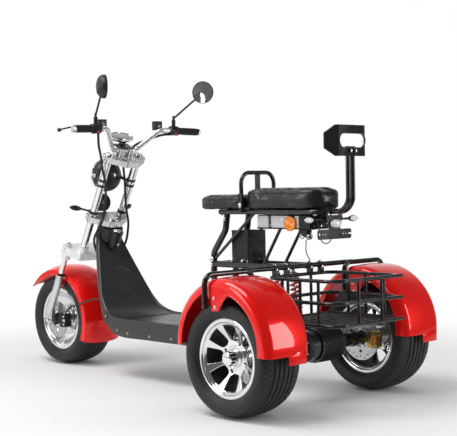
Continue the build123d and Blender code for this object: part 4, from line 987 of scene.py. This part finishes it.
# ------------------------------------------------------------------ cords
def nurbs_tube(points, radius, name, finish):
    """A cord on a smooth curve through its route's points, in millimetres."""
    curve = bpy.data.curves.new(name, "CURVE")
    curve.dimensions = "3D"
    spline = curve.splines.new("NURBS")
    spline.points.add(len(points) - 1)
    for spot, p in zip(spline.points, points):
        spot.co = (*p, 1)
    spline.order_u = 3
    spline.use_endpoint_u = True
    spline.resolution_u = 16
    curve.bevel_depth = radius / 1000
    curve.bevel_resolution = 3
    curve.use_fill_caps = True
    holder = bpy.data.objects.new(name, curve)
    mesh = bpy.data.meshes.new_from_object(holder)
    bpy.data.objects.remove(holder)
    mesh.materials.clear()
    mesh.materials.append(finish)
    mesh.shade_smooth()
    obj = bpy.data.objects.new(name, mesh)
    bpy.context.collection.objects.link(obj)
    return obj


def grip(inward, side=1):
    """A point on the line of a handlebar grip, that far in from its end."""
    return steer(side * (362 - 0.98772 * inward), 2 - 0.15051 * inward, 445 - 0.04233 * inward)


def bar_point(inward, side, dx=0, dy=0, dz=0):
    return grip(inward, side) + Vector((side * dx, dy, dz)) / 1000


foot = bar_point(152, 1, dz=-21.3)
left_start = [foot, foot - Vector((0, 0, 0.05)), at(172, -1103, 1006), at(133, -1146, 984)]
left_steered = [(121, -38, 250), (100, -12, 192), (72, -12, 122), (64, -2, 52), (74, 22, 2), (82, 14, -58),
    (78, -2, -110)]
left_run = [(68, -1288, 552), (54, -1260, 496), (46, -1212, 424), (42, -1168, 352), (42, -1116, 286),
    (42, -1048, 236), (42, -985.3, 236)]
right_foot = bar_point(159, -1, dz=-17.5)
grip_line = (grip(0, -1) - grip(1, -1)).normalized()
right_start = [right_foot, right_foot - grip_line * 0.04, at(-124, -1130, 1062), at(-90, -1164, 1048),
    at(-62, -1188, 1014), at(-36, -1202, 976)]
right_steered = [(-34, -64, 220), (-46, -40, 160), (-54, -20, 96), (-64, 2, 40), (-76, 26, -8),
    (-84, 34, -62)]
right_run = [(-94, -1264, 590), (-84, -1292, 538), (-58, -1272, 482), (-46, -1216, 418), (-42, -1166, 350),
    (-42, -1116, 286), (-42, -1048, 236),
             (-42, -985.3, 236)]
hose_run = [(106, -1488, 254), (109, -1452, 278), (115, -1400, 294), (121, -1340, 308), (124, -1276, 326),
    (118, -1216, 340), (100, -1162, 318),
            (82, -1108, 270), (74, -1046, 232), (74, -985.3, 232)]
left_cord = nurbs_tube(left_start + [steer(*p) for p in left_steered] + [at(*p) for p in left_run], 5.5,
    "left_harness", CORRUGATED)
right_cord = nurbs_tube(right_start + [steer(*p) for p in right_steered] + [at(*p) for p in right_run], 5.5,
    "right_harness", CORRUGATED)
hose = nurbs_tube([at(*p) for p in hose_run], 4, "brake_hose", CABLE)
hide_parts("control_cables")
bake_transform(left_cord)
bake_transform(right_cord)
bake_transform(hose)
latch_wire = [(30, 4, 627.7), (30, 2, 608), (18, -10, 584), (-8, -28, 566), (-40, -48, 552), (-66, -66, 545),
    (-72, -72, 532)]
lamp_wire = [(80, 106, 699), (80, 114, 680), (80, 118, 656), (76, 118, 634), (60, 118, 618), (38, 118, 615),
    (18, 118, 624), (10, 118, 644),
             (10, 116, 668), (10, 112, 691.7)]
for name, run in (("latch_wire", latch_wire), ("lamp_wire", lamp_wire)):
    wire = nurbs_tube([at(*p) for p in run], 2, name, CABLE)
    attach(wire, "chassis")
    if name == "latch_wire":
        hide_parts("rear_wires")


# ------------------------------------------------------------------ handlebar and what is on it
def line_to(a, b, t):
    return a + (b - a) * t


grips = Build()
for side in (1, -1):
    end, start = grip(0, side), grip(118, side)
    place = facing(start, end - start, (0, 0, 1))
    profile = [(11.2, 0), (17.2, 0.4), (18.6, 2), (18.6, 6), (17, 8)]
    for k in range(15):
        base = 10 + k * 6.2
        profile += [(15.4, base), (15.9, base + 1.1), (15.9, base + 4.6), (15.4, base + 5.6),
            (14.7, base + 5.9)]
    profile += [(15.6, 104.5), (16, 106), (16, 110)]
    grips.revolve(profile, place, 36, 0)
    for k in range(12):
        turn = 2 * math.pi * k / 12
        a = place @ Vector((0.0157 * math.cos(turn), 0.0157 * math.sin(turn), 0.022))
        b = place @ Vector((0.0157 * math.cos(turn), 0.0157 * math.sin(turn), 0.1))
        grips.tube([a, b], 1.1, 6)
    grips.revolve([(16, 110), (16.4, 111), (16.4, 117), (15, 119.3), (9, 120.2), (8.4, 119.2), (0, 119.2)],
        place, 36, 1)
obj = grips.make("grip_sleeves", [MATT, CHROME], "steering")
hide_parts("grips")

levers = Build()
for side in (1, -1):
    route = smooth([steer(side * 226, -44, 438), steer(side * 250, -52, 438), steer(side * 290, -61, 432),
        steer(side * 335, -66, 421),
                    steer(side * 382, -66, 409)], 8)
    widths = [6.5, 6.6, 6.8, 7.0] + [7.2 - 0.06 * k for k in range(len(route) - 4)]
    levers.tube(route, widths, 16, 0, squash=0.62, across=(0, 1, 0))
    levers.revolve([(0, -9.5), (4.5, -8.4), (8, -4.8), (9.3, 0), (8, 4.8), (4.5, 8.4), (0, 9.5)],
        facing(steer(side * 381, -66, 409), (1, 0, 0)), 24, 0)
    levers.revolve([(8, -8), (8, 8), (6.5, 9), (0, 9)], facing(steer(side * 233, -46, 438), tuple(STEER_Z)),
        20, 1)
    levers.revolve([(4, 9), (4, 12), (0, 12.6)], facing(steer(side * 233, -46, 438), tuple(STEER_Z)), 6, 2)
obj = levers.make("lever_blades", [LEVER, MATT, CHROME], "steering")
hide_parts("brake_levers")

controls = Build()
for side in (1, -1):
    tank = bar_point(203, side, 0, -33, 2)
    lid = facing(tank + Vector((0, 0, 0.0385)), (0, 0, 1), (1, 0, 0))
    controls.plate([rounded_box(43, 34, 7)], 4, lid, 0, 0.8)
    window = facing(tank + Vector((0, 0.0162, 0.018)), (0, 1, 0), (1, 0, 0))
    controls.revolve([(8.4, -1), (8.4, 1), (7.6, 1.8), (6.4, 1.8), (6, 0.8)], window, 32, 2)
    controls.revolve([(6.2, 0.8), (3, 1.6), (0, 1.8)], window, 24, 5)
    controls.box((15, 26, 21), facing(bar_point(171, side, 0, -10, 6), (side * 0.99, 0, 0)), 4, 1)
    for dz in (-9, 9):
        controls.bolt(bar_point(181, side, 0, 13, dz), (0, 1, 0), 2.6, 2, True, False)
    controls.plate([rounded_box(30, 21, 4)], 1.2, lid @ Matrix.Translation((0, 0, 0.0024)), 1, 0.3)
    for x, y in ((16, 11), (-16, -11), (16, -11), (-16, 11)):
        controls.revolve([(2.2, 0), (2.2, 1.2), (0.6, 1.4), (0, 0.6)],
            lid @ Matrix.Translation((x / 1000, y / 1000, 0.0019)), 12, 2)
    seam = facing(grip(139, side), grip(100, side) - grip(139, side), (0, 0, 1))
    controls.revolve([(21.05, -19.5), (21.9, -18.5), (21.9, -15), (21.2, -14)], seam, 40, 0)
    controls.revolve([(21.2, 14), (21.9, 15), (21.9, 18.5), (21.05, 19.3)], seam, 40, 0)
    for turn, kind, size in ((-42, 3, 6), (8, 0, 4.2), (52, 0, 6)):
        angle = math.radians(turn)
        out = Vector((0, math.cos(angle), math.sin(angle)))
        centre = grip(139, side) + out * 0.0205
        button = facing(centre, tuple(out))
        controls.revolve([(size + 1.6, 0), (size + 1.6, 1.4), (size + 0.7, 2), (size, 1.2)], button, 20, 0)
        controls.revolve([(size, 0.8), (size, 3.4), (size - 1, 4.3), (0, 4.4)], button, 20, kind)
    for x in (-10, 10):
        controls.bolt(bar_point(139 + x, side, 0, 0, -21.2), (0, 0, -1), 2.2, 2, False, False)
obj = controls.make("control_trim", [PLASTIC, MATT, CHROME, BUTTON, ORANGE, DIAL], "steering")

# ------------------------------------------------------------------ mirrors
mirrors = Build()
glass = Build()
for side in (1, -1):
    foot = bar_point(138, side, 0, 0, 21.3)
    head = at(side * 288, -917, 1275)
    mirrors.revolve([(9.2, 0), (9.2, 16), (8.4, 17), (8.4, 20), (9.4, 20.5), (9.4, 28), (7, 31), (5.2, 33)],
        facing(foot, (0, 0, 1)), 6, 0)
    mirrors.revolve([(8.6, 0), (8.6, 3), (5.4, 8), (5.2, 30)],
        facing(foot + Vector((0, 0, 0.018)), (0, 0, 1)), 24, 0)
    bend = foot + Vector((0, 0, 0.036))
    route = smooth([foot + Vector((0, 0, 0.02)), bend, line_to(bend, head, 0.06), line_to(bend, head, 0.5),
        line_to(bend, head, 0.93)], 8)
    mirrors.tube(route, 4.6, 14, 0)
    angle = math.radians(65)
    out = Vector((-side * math.sin(angle), math.cos(angle), 0))
    place = facing(head, tuple(out), (0, 0, 1))
    mirrors.revolve([(47.6, 8.2), (48.4, 9.2), (50.2, 9.4), (51, 8), (51, 2), (50.4, -2), (48.5, -8),
        (44, -15), (35, -22), (23, -26.5), (10, -28.5), (0, -29)], place, 56, 0)
    mirrors.revolve([(13, -20), (12, -25.5), (9, -27.5), (0, -28)], place @ Matrix.Translation((-0.02, 0, 0)),
        24, 0)
    glass.revolve([(47.6, 7.2), (30, 7.6), (12, 7.8), (0, 7.8)], place, 56, 0)
obj = mirrors.make("mirror_shells", [PLASTIC], "steering")
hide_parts("mirrors")
obj = glass.make("mirror_glasses", [GLASS], "steering")

# ------------------------------------------------------------------ instruments, headlight, horn
pod = Build()
place = facing(steer(0, -104, 346), tuple(STEER_Z), (1, 0, 0))
oval = (1, 0.62)
pod.revolve([(0, 1), (30, 1.5), (46, 4), (56, 8), (62, 13), (64, 17)], place, 72, 0, oval)
pod.revolve([(63.4, 14), (65, 16), (65, 24), (63.5, 26.6), (60.5, 27.8), (57.5, 27.8), (56.5, 26.4),
    (56, 25)], place, 72, 1, oval)
pod.revolve([(57, 25.2), (40, 26.2), (0, 26.8)], place, 72, 2, oval)
pod.revolve([(16, -18), (16, 3)], facing(steer(0, -84, 348), tuple(STEER_Z)), 24, 0)
pod.plate([rounded_box(90, 56, 8)], 3, facing(steer(0, -72, 332.9), tuple(STEER_Z), (1, 0, 0)), 0, 0.6)
for x, y in ((-38, -52), (38, -52), (-38, -92), (38, -92)):
    pod.bolt(steer(x, y, 334.6), tuple(STEER_Z), 3, 3, False)
obj = pod.make("pod_shell", [GLOSS, CHROME, DIAL, CHROME], "steering")
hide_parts("instrument_pod")

lamp_front = Build()
centre = steer(0, -125, 160)
place = facing(centre, (0, -1, 0), (1, 0, 0))
lamp_front.revolve([(74.6, 15), (75.6, 17), (76, 21), (75, 26), (71, 29.6), (68.5, 30), (67, 28)], place, 72,
    0)
lamp_front.revolve([(68, 28.2), (56, 31.5), (36, 34.3), (16, 35.6), (0, 36)], place, 72, 1)
lamp_front.revolve([(75.2, 8), (76, 9), (76, 12), (75.2, 13)], place, 72, 2)
lamp_front.revolve([(9, -59.5), (9, -57), (7, -61.5), (0, -62)][:1] + [(7, -60.5), (0, -61)], place, 20, 0)
for side in (1, -1):
    lamp_front.bolt(steer(side * 76.5, -122, 160), (side, 0, 0), 6.5, 0)
    lamp_front.bolt(steer(side * 83, -70, 160), (side, 0, 0), 5, 0)
    for z in (147, 173):
        ring = facing(steer(side * 83, -48, z), tuple(STEER_Z), (1, 0, 0))
        lamp_front.revolve([(18.3, -6), (21.5, -5.4), (21.5, 5.4), (18.3, 6)], ring, 32, 3)
obj = lamp_front.make("headlight_trim", [CHROME, CLEAR, GLOSS, BLACK], "steering")

horn = Build()
place = facing(steer(0, -108, 26) - Vector((0, 0.0, 0)), (0, 1, 0), (1, 0, 0))
profile = [(12, 15.8), (12, 18.5), (0, 18.8)]
horn.revolve(profile, place, 24, 0)
for r in (16, 21, 26, 31, 36):
    horn.revolve([(r - 1.4, 15.9), (r - 0.8, 17.2), (r + 0.8, 17.2), (r + 1.4, 15.9)], place, 48, 1)
horn.revolve([(40.1, -16), (41, -15), (41, 15), (40.1, 16.2), (38.5, 16.6), (38, 15.9)], place, 64, 1)
horn.bolt(steer(0, -108, 26) + Vector((0, 0.0185, 0)), (0, 1, 0), 5.5, 0, False)
back = facing(steer(0, -108, 26), (0, -1, 0), (1, 0, 0))
horn.revolve([(38, 15.9), (30, 18), (14, 19), (0, 19.2)], back, 48, 1)
obj = horn.make("horn_trim", [CHROME, MATT], "steering")


# ------------------------------------------------------------------ indicators
def indicator(shape, root, tip, out, lens_side):
    """A leaf-shaped indicator on its stalk; the lens looks along lens_side."""
    shape.tube([root, line_to(root, tip, 0.35), tip], [6, 4.4, 5], 14, 0)
    place = facing(tip, out, lens_side)
    leaf = [(4, 0), (7.5, 5), (10.4, 13), (12.2, 23), (12.6, 31), (11, 41), (7.4, 50), (3, 56), (0, 58)]
    shape.revolve(leaf, place, 28, 0, (0.72, 1))
    lens = [(3.4, 6), (7.2, 11), (9.7, 19), (10.8, 28), (10, 38), (7, 47), (2.6, 53), (0, 54)]
    shape.revolve(lens, place @ Matrix.Translation((0.0042, 0, 0)), 28, 1, (0.72, 1))
    shape.revolve([(0, 18), (3.4, 22), (4.6, 29), (3.4, 36), (0, 40)],
        place @ Matrix.Translation((0.0084, 0, 0)), 20, 2, (0.8, 0.9))


front_set = Build()
for side in (1, -1):
    out = (STEER_Y * -0.36 + Vector((side * 0.93, 0, 0))).normalized()
    root = steer(side * 98, -60, 8)
    tip = steer(side * 128, -84, 8)
    indicator(front_set, root, tip, tuple(out), (0, -1, 0))
    ring = facing(steer(side * 83, -48, 8), tuple(STEER_Z), (1, 0, 0))
    front_set.revolve([(18.3, -7), (21.6, -6.2), (21.6, 6.2), (18.3, 7)], ring, 32, 0)
obj = front_set.make("front_indicators", [PLASTIC, CLEAR, ORANGE], "steering")
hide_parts("front_signals")

# ------------------------------------------------------------------ clamps, fork and axle
fork = Build()
for side in (1, -1):
    for height, reach in ((285, 0), (-20, 0)):
        for z in (-7, 7):
            fork.bolt(steer(side * 109.4, -40 - 8, height + z), (side, 0, 0), 4.2, 0, False)
    top = facing(steer(side * 83, -48, 300), tuple(STEER_Z))
    fork.revolve([(20.5, -2.5), (20.5, 4), (18.6, 6.4), (12, 7), (11, 6), (6.5, 6), (6.5, 9.5), (0, 9.8)],
        top, 40, 0)
    for z, r in ((268, 21), (262, 19.4), (0, 21), (-42, 21)):
        ring = facing(steer(side * 83, -48, z), tuple(STEER_Z))
        fork.revolve([(18.2, -4), (r, -3.2), (r, 3.2), (18.2, 4)], ring, 40, 1)
    for z in (-360, -372):
        ring = facing(steer(side * 124, -105, z), tuple(STEER_Z))
        fork.revolve([(13.2, -3), (20.2 if z < -365 else 16.5, -2.2), (20.2 if z < -365 else 16.5, 2.2),
            (13.2, 3)], ring, 36, 0)
    boot = facing(steer(side * 124, -105, -352), tuple(STEER_Z))
    fork.revolve([(13.1, -9), (15.6, -8), (15.6, 4), (13.1, 8)], boot, 32, 2)
    axle = facing(at(side * 143, -1575, 217), (side, 0, 0))
    fork.revolve([(15, -2), (15, 0.8), (14, 1.4), (0, 1.4)], axle, 32, 0)
    fork.revolve([(11.5, 1), (11.5, 9), (9.8, 10.6), (8, 10.8), (7.6, 9.6), (0, 9.6)], axle, 6, 0)
    fork.bolt(at(side * 143.2, -1588, 240), (side, 0, 0), 4, 0, False)
    fork.bolt(steer(side * 28, -60, 331.2), tuple(STEER_Z), 6, 0)
obj = fork.make("fork_trim", [CHROME, CAST, MATT], "steering")

stem = Build()
boss = facing(steer(0, 6, -8), tuple(STEER_Z))
stem.revolve([(20, -25.2), (25, -25.2), (26, -23), (26, -6), (24.5, -4), (24.5, 9), (23, 11), (17, 11.6),
    (16, 10), (0, 10)], boss, 48, 0)
obj = stem.make("stem_trim", [CHROME], "steering")

bridge = Build()
for side in (1, -1):
    bridge.bolt(steer(side * 124, -105, -190), tuple(STEER_Z), 9, 1)
    bridge.bolt(steer(side * 83, -48, -236), tuple(-STEER_Z), 9, 1)
    for z in (-206, -224):
        bridge.bolt(steer(side * 147.4, -96, z), (side, 0, 0), 4.2, 1, False)
obj = bridge.make("bridge_trim", [BRIDGE, CHROME], "steering")

# ------------------------------------------------------------------ hood and key
hood = Build()
place = facing(steer(0, 29, -18), tuple(STEER_Y), (1, 0, 0))
lock = facing(steer(0, 56, -39), tuple(STEER_Z), (1, 0, 0))
hood.revolve([(28.1, -5), (28.7, -4), (28.5, -1.4), (26.8, 0.1), (22, 0.5), (20, 0.2)], lock, 48, 0)
hood.revolve([(20, 0.1), (19.4, 0.8), (17.6, 1), (13.4, 1), (12.6, 0.4)], lock, 40, 1, (1, 0.78))
hood.revolve([(12.8, 0.3), (12, 0.7), (6, 0.8), (0, 0.8)], lock, 32, 1, (1, 0.78))
# painted shade: the key slot is a thin matt black bar on the cylinder face, not a cut
hood.box((2, 9, 0.8), lock @ Matrix.Translation((0, 0, 0.0007)), 0.2, 2)
hood.tube([steer(x, y, -42.4) for x, y in circle(57.6, 64)][8:57], 1.8, 8, 0)
hood.bolt(steer(0, 84.2, -96), tuple(STEER_Y), 3.4, 1, True, False)
obj = hood.make("hood_trim", [PLASTIC, CHROME, MATT], "chassis")


# ------------------------------------------------------------------ lamps and plate bracket
rear_set = Build()
for side in (1, -1):
    indicator(rear_set, at(side * 30.3, 106, 706), at(side * 100, 106, 706), (side, 0, 0), (0, 1, 0))
    rear_set.revolve([(9, 0), (9, 3), (7, 5), (6, 14), (5, 16)],
        facing(at(side * 30.3, 106, 706), (side, 0, 0)), 20, 0)
oval = facing(at(0, 124.6, 690), (0, 1, 0), (1, 0, 0))
rear_set.revolve([(32, 0), (32, 3), (31, 4.2), (29.5, 4.2)], oval, 56, 0, (1, 0.5625))
rear_set.revolve([(30.4, 3.6), (29.6, 8), (26, 13.2), (19, 17.2), (9, 19.4), (0, 19.8)], oval, 56, 3,
    (1, 0.5625))
obj = rear_set.make("rear_indicators", [PLASTIC, CLEAR, ORANGE, CLEAR], "chassis")
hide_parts("rear_lamps")

plate = Build()
holes = [circle(3.5, 20, x, 0) for x in (-50, -66, 50, 66)]
holes += [rounded_box(11, 6.4, 3.1, x, 0, 5) for x in (-84, 84)]
face = facing(at(0, 122.3, 650), (0, 1, 0), (-1, 0, 0))
plate.plate([rounded_box(192, 38, 10), *holes], 3.6, face, 0, 0.6)
plate.plate([[(-30, 10), (30, 10), (34, 34), (46, 62), (46, 88), (24, 88), (22, 72), (-22, 72), (-24, 88),
    (-46, 88), (-46, 62), (-34, 34)]],
            3.6, face @ Matrix.Translation((0, 0, 0.0001)), 0, 0.6)
for x in (-88, 88):
    plate.revolve([(5, 1.6), (5, 3), (3.4, 3.8), (0, 3.8)], face @ Matrix.Translation((x * 0.001, 0, 0)), 20,
        1)
for x in (-35, 35):
    plate.bolt(at(x, 124.4, 728), (0, 1, 0), 5.4, 1)
plate.box((62, 34, 26), Matrix.Translation(at(0, 106, 705)), 3, 2)
for x in (-18, 18):
    plate.bolt(at(x, 104, 691.8), (0, 0, -1), 4, 1, False)
obj = plate.make("bracket_plate", [BLACK, CHROME, MATT], "chassis")
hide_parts("plate_bracket")

reflectors = Build()
for side in (1, -1):
    place = facing(at(side * 64.3, -45, 690), (side, 0, 0), (0, 0, 1))
    reflectors.revolve([(29, 0), (29, 7), (28, 8), (26.6, 8), (26.2, 7)], place, 48, 0)
    rows = []
    for r, h in ((26.4, 6.6), (22, 7.4), (17, 7.7), (12, 7.9), (6, 8), (0.01, 8.1)):
        ring = []
        for k in range(96):
            turn = 2 * math.pi * k / 96
            lift = 0.55 * (1 if k % 4 < 2 else -1) * (r / 26)
            ring.append(place @ (Vector((r * math.cos(turn), r * math.sin(turn), h + lift)) / 1000))
        rows.append(ring)
    reflectors.grid(rows, 0)
    reflectors.revolve([(4, 8), (4, 8.8), (0, 9)], place, 16, 0)
obj = reflectors.make("reflector_lenses", [ORANGE], "chassis", sharp=25)
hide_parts("side_reflectors")

# ------------------------------------------------------------------ under-seat box
box = Build()
box.box((122, 286, 54), Matrix.Translation(at(0, -86, 696.2)), 4, 0)
box.box((128, 288, 5), Matrix.Translation(at(0, -86, 670.5)), 1.6, 0)
box.box((128, 60, 50), Matrix.Translation(at(0, 26, 697)), 3, 0)
for side in (1, -1):
    for y, length in ((-196, 62), (-104, 96), (-12, 26)):
        panel = facing(at(side * 61.6, y, 697), (side, 0, 0), (0, 1, 0))
        box.plate([rounded_box(length, 46, 4)], 3, panel, 1, 0.7)
        box.plate([rounded_box(length - 12, 34, 3)], 1, panel @ Matrix.Translation((0, 0, 0.0016)), 1, 0.3)
    box.box((5, 12, 48), Matrix.Translation(at(side * 61.8, -157, 697)), 1.4, 2)
    cap = facing(at(side * 63, -88, 708), (side, 0, 0))
    box.revolve([(8.6, 0), (8.6, 2.4), (7.4, 3.6), (0, 4)], cap, 28, 3)
    for y, z in ((-222, 680), (-170, 712), (-151, 684), (-50, 714), (-22, 680), (52, 712)):
        box.bolt(at(side * 63.4, y, z), (side, 0, 0), 2.6, 4, True, False)
for x in (-40, 0, 40):
    box.bolt(at(x, 56.3, 680), (0, 1, 0), 3, 4, True, False)
obj = box.make("under_seat_panels", [MATT, SILVER, BLACK, PEARL, CHROME], "chassis")
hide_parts("under_seat_box")

# ------------------------------------------------------------------ controller
unit = Build()
for side in (1, -1):
    for k in range(9):
        unit.box((3, 92, 3.4), Matrix.Translation(at(side * 51.5, -342, 556 + k * 10.6)), 1, 0)
for k in range(8):
    for y in (-291, -393):
        unit.box((92, 2.4, 4), Matrix.Translation(at(0, y, 562 + k * 11)), 1, 0)
unit.box((104, 100, 3), Matrix.Translation(at(0, -342, 658)), 1.2, 0)
for x in (-58, 58):
    for y in (-372, -312):
        unit.bolt(at(x, y, 538.6), (0, 0, 1), 5, 1)
    unit.bolt(at(x, -295.4, 536), (0, 1, 0), 3.4, 1, False)
unit.plate([rounded_box(52, 22, 2)], 1.4, facing(at(0, -289.6, 560), (0, 1, 0), (1, 0, 0)), 2, 0.3)
for side in (1, -1):
    for y in (-372, -312):
        unit.bolt(at(side * 70.3, y, 537), (side, 0, 0), 3.6, 1)
obj = unit.make("controller_fins", [MATT, CHROME, GLOSS], "chassis")

# ------------------------------------------------------------------ latch, hoop, rails
latch = Build()
latch.box((28, 46, 14), Matrix.Translation(at(35, 4, 660)), 3, 0)
a, b = at(35, -4, 655), at(37, 26, 641)
latch.tube([a, line_to(a, b, 0.5), b], [13, 12.6, 12.6], 28, 0)
latch.revolve([(12.8, 0), (13.6, 1), (13.6, 5), (12, 7), (9, 7.4), (8.6, 6), (0, 6)], facing(b, b - a), 32, 1)
latch.revolve([(4.4, 6), (4.4, 9), (0, 9.4)], facing(b, b - a), 16, 0)
tab = facing(at(34, -14, 640), (1, 0.2, 0), (0, 1, -0.5))
latch.plate([circle(11, 28), circle(5.6, 20)], 3.4, tab, 1, 0.5)
latch.tube([at(35, -6, 650), at(34, -12, 645)], 5, 14, 0)
obj = latch.make("latch_lock", [PLASTIC, CHROME], "chassis")
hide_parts("seat_latch")

frame_trim = Build()
for side in (1, -1):
    slot = facing(at(side * 101.2, -285, 778), (side, 0, 0), (0, 0, 1))
    frame_trim.plate([rounded_box(62, 24, 8), rounded_box(22, 7, 3.4, 12, 0)], 4, slot, 0, 0.6)
    frame_trim.bolt(at(side * 103.2, -285, 762), (side, 0, 0), 5.4, 1)
    for y in (-420, 90):
        frame_trim.bolt(at(side * 74, y, 724.4), (0, 0, -1), 4.6, 1)
    frame_trim.revolve([(9.4, 0), (9.4, 1), (8, 2), (0, 2)], facing(at(side * 74, -430.2, 735), (0, -1, 0)),
        24, 0)
    frame_trim.bolt(at(side * 75, -487, 540), (side, 0, 0), 7.4, 1)
    frame_trim.bolt(at(side * 75, -487, 516), (side, 0, 0), 5, 1)
    frame_trim.bolt(at(side * 75, -405, 706), (side, 0, 0), 4.4, 1)
    frame_trim.bolt(at(side * 104.4, -448, 258), (side, 0, 0), 9, 1)
for x in (-130, -66, 66, 130):
    clamp = facing(at(x, -72, 521), (1, 0, 0), (0, 0, 1))
    frame_trim.revolve([(10.2, -9.5), (13, -9), (13, 9), (10.2, 9.5)], clamp, 28, 0)
    frame_trim.bolt(at(x, -72, 533.4), (0, 0, 1), 5, 1)
    frame_trim.bolt(at(x, -58, 514), (0, 1, 0), 4.6, 1)
obj = frame_trim.make("frame_bolts", [BLACK, CHROME], "chassis")

carrier = Build()
for x in (383.5, -383.5):
    for spot in ((x + 128.3, -53, 402), (x - 116.3, -53, 432)):
        carrier.revolve([(10.4, -3), (11.4, -2), (11.4, 7), (10.2, 8)], facing(at(*spot), (0, 0, 1)), 24, 0)
obj = carrier.make("carrier_sleeves", [BLACK], "chassis")

# ------------------------------------------------------------------ backrest plate
rest = Build()
for side in (1, -1):
    for z in (952, 975):
        ring = facing(at(side * 13.5, 205, z), (0, 0, 1))
        rest.revolve([(9.2, -4), (10.6, -3.4), (10.6, 3.4), (9.2, 4)], ring, 24, 0)
    rest.bolt(at(side * 13.5, 222.8, 962), (0, 1, 0), 4.6, 1)
loop = []
for x, z in rounded_box(146, 56, 27.8, 0, 0, 12):
    loop.append(at(x, 217.3, 1000 + z))
rest.tube([*loop, loop[0], loop[1]], 2.6, 10, 0)
obj = rest.make("backrest_trim", [GLOSS, CHROME], "chassis")

# ------------------------------------------------------------------ shocks
shocks = Build()
for side in (1, -1):
    low, top = at(side * 45, -102, 242), at(side * 45, -140, 506)
    axis = top - low
    place = facing(low, axis, (1, 0, 0))
    length = axis.length * 1000
    shocks.revolve([(8, 1), (8, 14), (17, 16), (17, length * 0.46), (15, length * 0.48), (9, length * 0.49)],
        place, 28, 0)
    shocks.revolve([(6, length * 0.48), (6, length * 0.9), (15, length * 0.905), (21, length * 0.91),
        (21, length * 0.935), (11, length * 0.95),
                    (8, length * 0.96), (8, length - 1)], place, 28, 1)
    shocks.revolve([(14, length * 0.4), (21.5, length * 0.405), (21.5, length * 0.425), (14, length * 0.43)],
        place, 32, 1)
    coil = []
    turns, start, end = 7, length * 0.43, length * 0.9
    for k in range(turns * 20 + 1):
        t = k / (turns * 20)
        angle = 2 * math.pi * turns * t
        coil.append(place @ (Vector((18.6 * math.cos(angle), 18.6 * math.sin(angle),
            start + (end - start) * t)) / 1000))
    shocks.tube(coil, 3.7, 10, 2)
obj = shocks.make("shock_springs", [BLACK, CHROME, SPRING], "chassis")
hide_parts("rear_shocks")

# ------------------------------------------------------------------ motor and axle
motor = Build()
drum = facing(at(-115, 0, 217), (-1, 0, 0), (0, 0, 1))
motor.revolve([(67, -2), (68.4, -1), (68.4, 4), (66, 7), (60, 8), (58, 6), (40, 6), (38, 9), (30, 10),
    (28.5, 9)], drum, 64, 0)
for k in range(6):
    turn = 2 * math.pi * k / 6
    spot = drum @ Matrix.Translation((0.0545 * math.cos(turn), 0.0545 * math.sin(turn), 0.006))
    motor.revolve([(4.6, 0), (4.6, 4), (3, 4.6), (2.4, 2), (0, 2)], spot, 6, 1)
for x in range(-104, 6, 11):
    motor.revolve([(66.8, -2.2), (69.6, -1.4), (69.6, 1.4), (66.8, 2.2)], facing(at(x, 0, 217), (1, 0, 0)),
        64, 0)
cover = facing(at(80, 0, 217), (1, 0, 0), (0, 0, 1))
motor.revolve([(59.8, -26), (62, -25), (62, -4), (60, -1), (52, 1.6), (50, 0.4), (36, 1), (33, 6), (28.4, 7)],
    cover, 56, 0)
for k in range(8):
    turn = 2 * math.pi * (k + 0.5) / 8
    spot = cover @ Matrix.Translation((0.0545 * math.cos(turn), 0.0545 * math.sin(turn), 0))
    motor.revolve([(4.2, 0), (4.2, 4), (3, 4.4), (0, 4.4)], spot, 6, 1)
for side in (1, -1):
    for x in (118, 236):
        ring = facing(at(side * x, 0, 217), (1, 0, 0))
        motor.revolve([(28.1, -8), (30.5, -7), (30.5, 7), (28.1, 8)], ring, 40, 0)
    motor.bolt(at(side * 230, -102, 209.6), (0, 0, -1), 6, 1)
    motor.bolt(at(side * 45, -117.3, 228), (0, -1, 0), 6, 1)
obj = motor.make("motor_ribs", [MATT, STEEL], "chassis")


# ------------------------------------------------------------------ calipers
def caliper(shape, x, y, mark):
    """The visible parts of a caliper behind its disc's edge: body lobes, pad pins, pistons and bolts."""
    for dx in (-13.5, 13.5):
        for dz in (-18, 18):
            spot = facing(at(x + dx, y, 217 + dz), (math.copysign(1, dx), 0, 0))
            shape.revolve([(13, -3), (13, 4.6), (11.4, 6), (9.4, 6), (8.6, 4.8), (0, 4.8)], spot, 32, mark)
            shape.revolve([(5.4, 4.6), (5.4, 7), (4, 8), (0, 8)], spot, 6, 3)
    for dz in (-30, 30):
        shape.revolve([(3, -17.5), (3, 17.5), (0, 18)], facing(at(x, y + 3, 217 + dz), (1, 0, 0)), 14, 3)


brakes = Build()
for side in (1, -1):
    x = side * 282.5
    caliper(brakes, x, 86, 0)
    ring = facing(at(x + side * 18, 86, 217), (side, 0, 0))
    brakes.revolve([(8, 0), (9.4, 1.4), (8, 2.8), (6.6, 1.4)], ring, 24, 1)
    ring = facing(at(x - side * 18.4, 86, 217), (-side, 0, 0))
    brakes.revolve([(11, 0), (12.4, 1.6), (11, 3.2), (9.2, 1.6)], ring, 28, 1)
    brakes.bolt(at(x, 102, 236), (0, 1, 0), 4.4, 3, False)
obj = brakes.make("rear_brake_trim", [GOLD, ORANGE, BLACK, CHROME], "chassis")

front_brake = Build()
caliper(front_brake, 98, -1489, 0)
front_brake.bolt(at(115.4, -1489, 217), (1, 0, 0), 6.4, 3)
front_brake.bolt(at(106, -1488, 250.4), (0, 0, 1), 5.4, 3, False)
obj = front_brake.make("front_brake_trim", [MATT, ORANGE, BLACK, CHROME], "steering")

# ------------------------------------------------------------------ floor
mesh = bpy.data.meshes.new("floor")
reach = 14
mesh.from_pydata([(-reach, -reach, 0), (reach, -reach, 0), (reach, reach, 0), (-reach, reach, 0)], [],
    [(0, 1, 2, 3)])
mesh.materials.append(FLOOR)
floor = bpy.data.objects.new("floor", mesh)
bpy.context.collection.objects.link(floor)
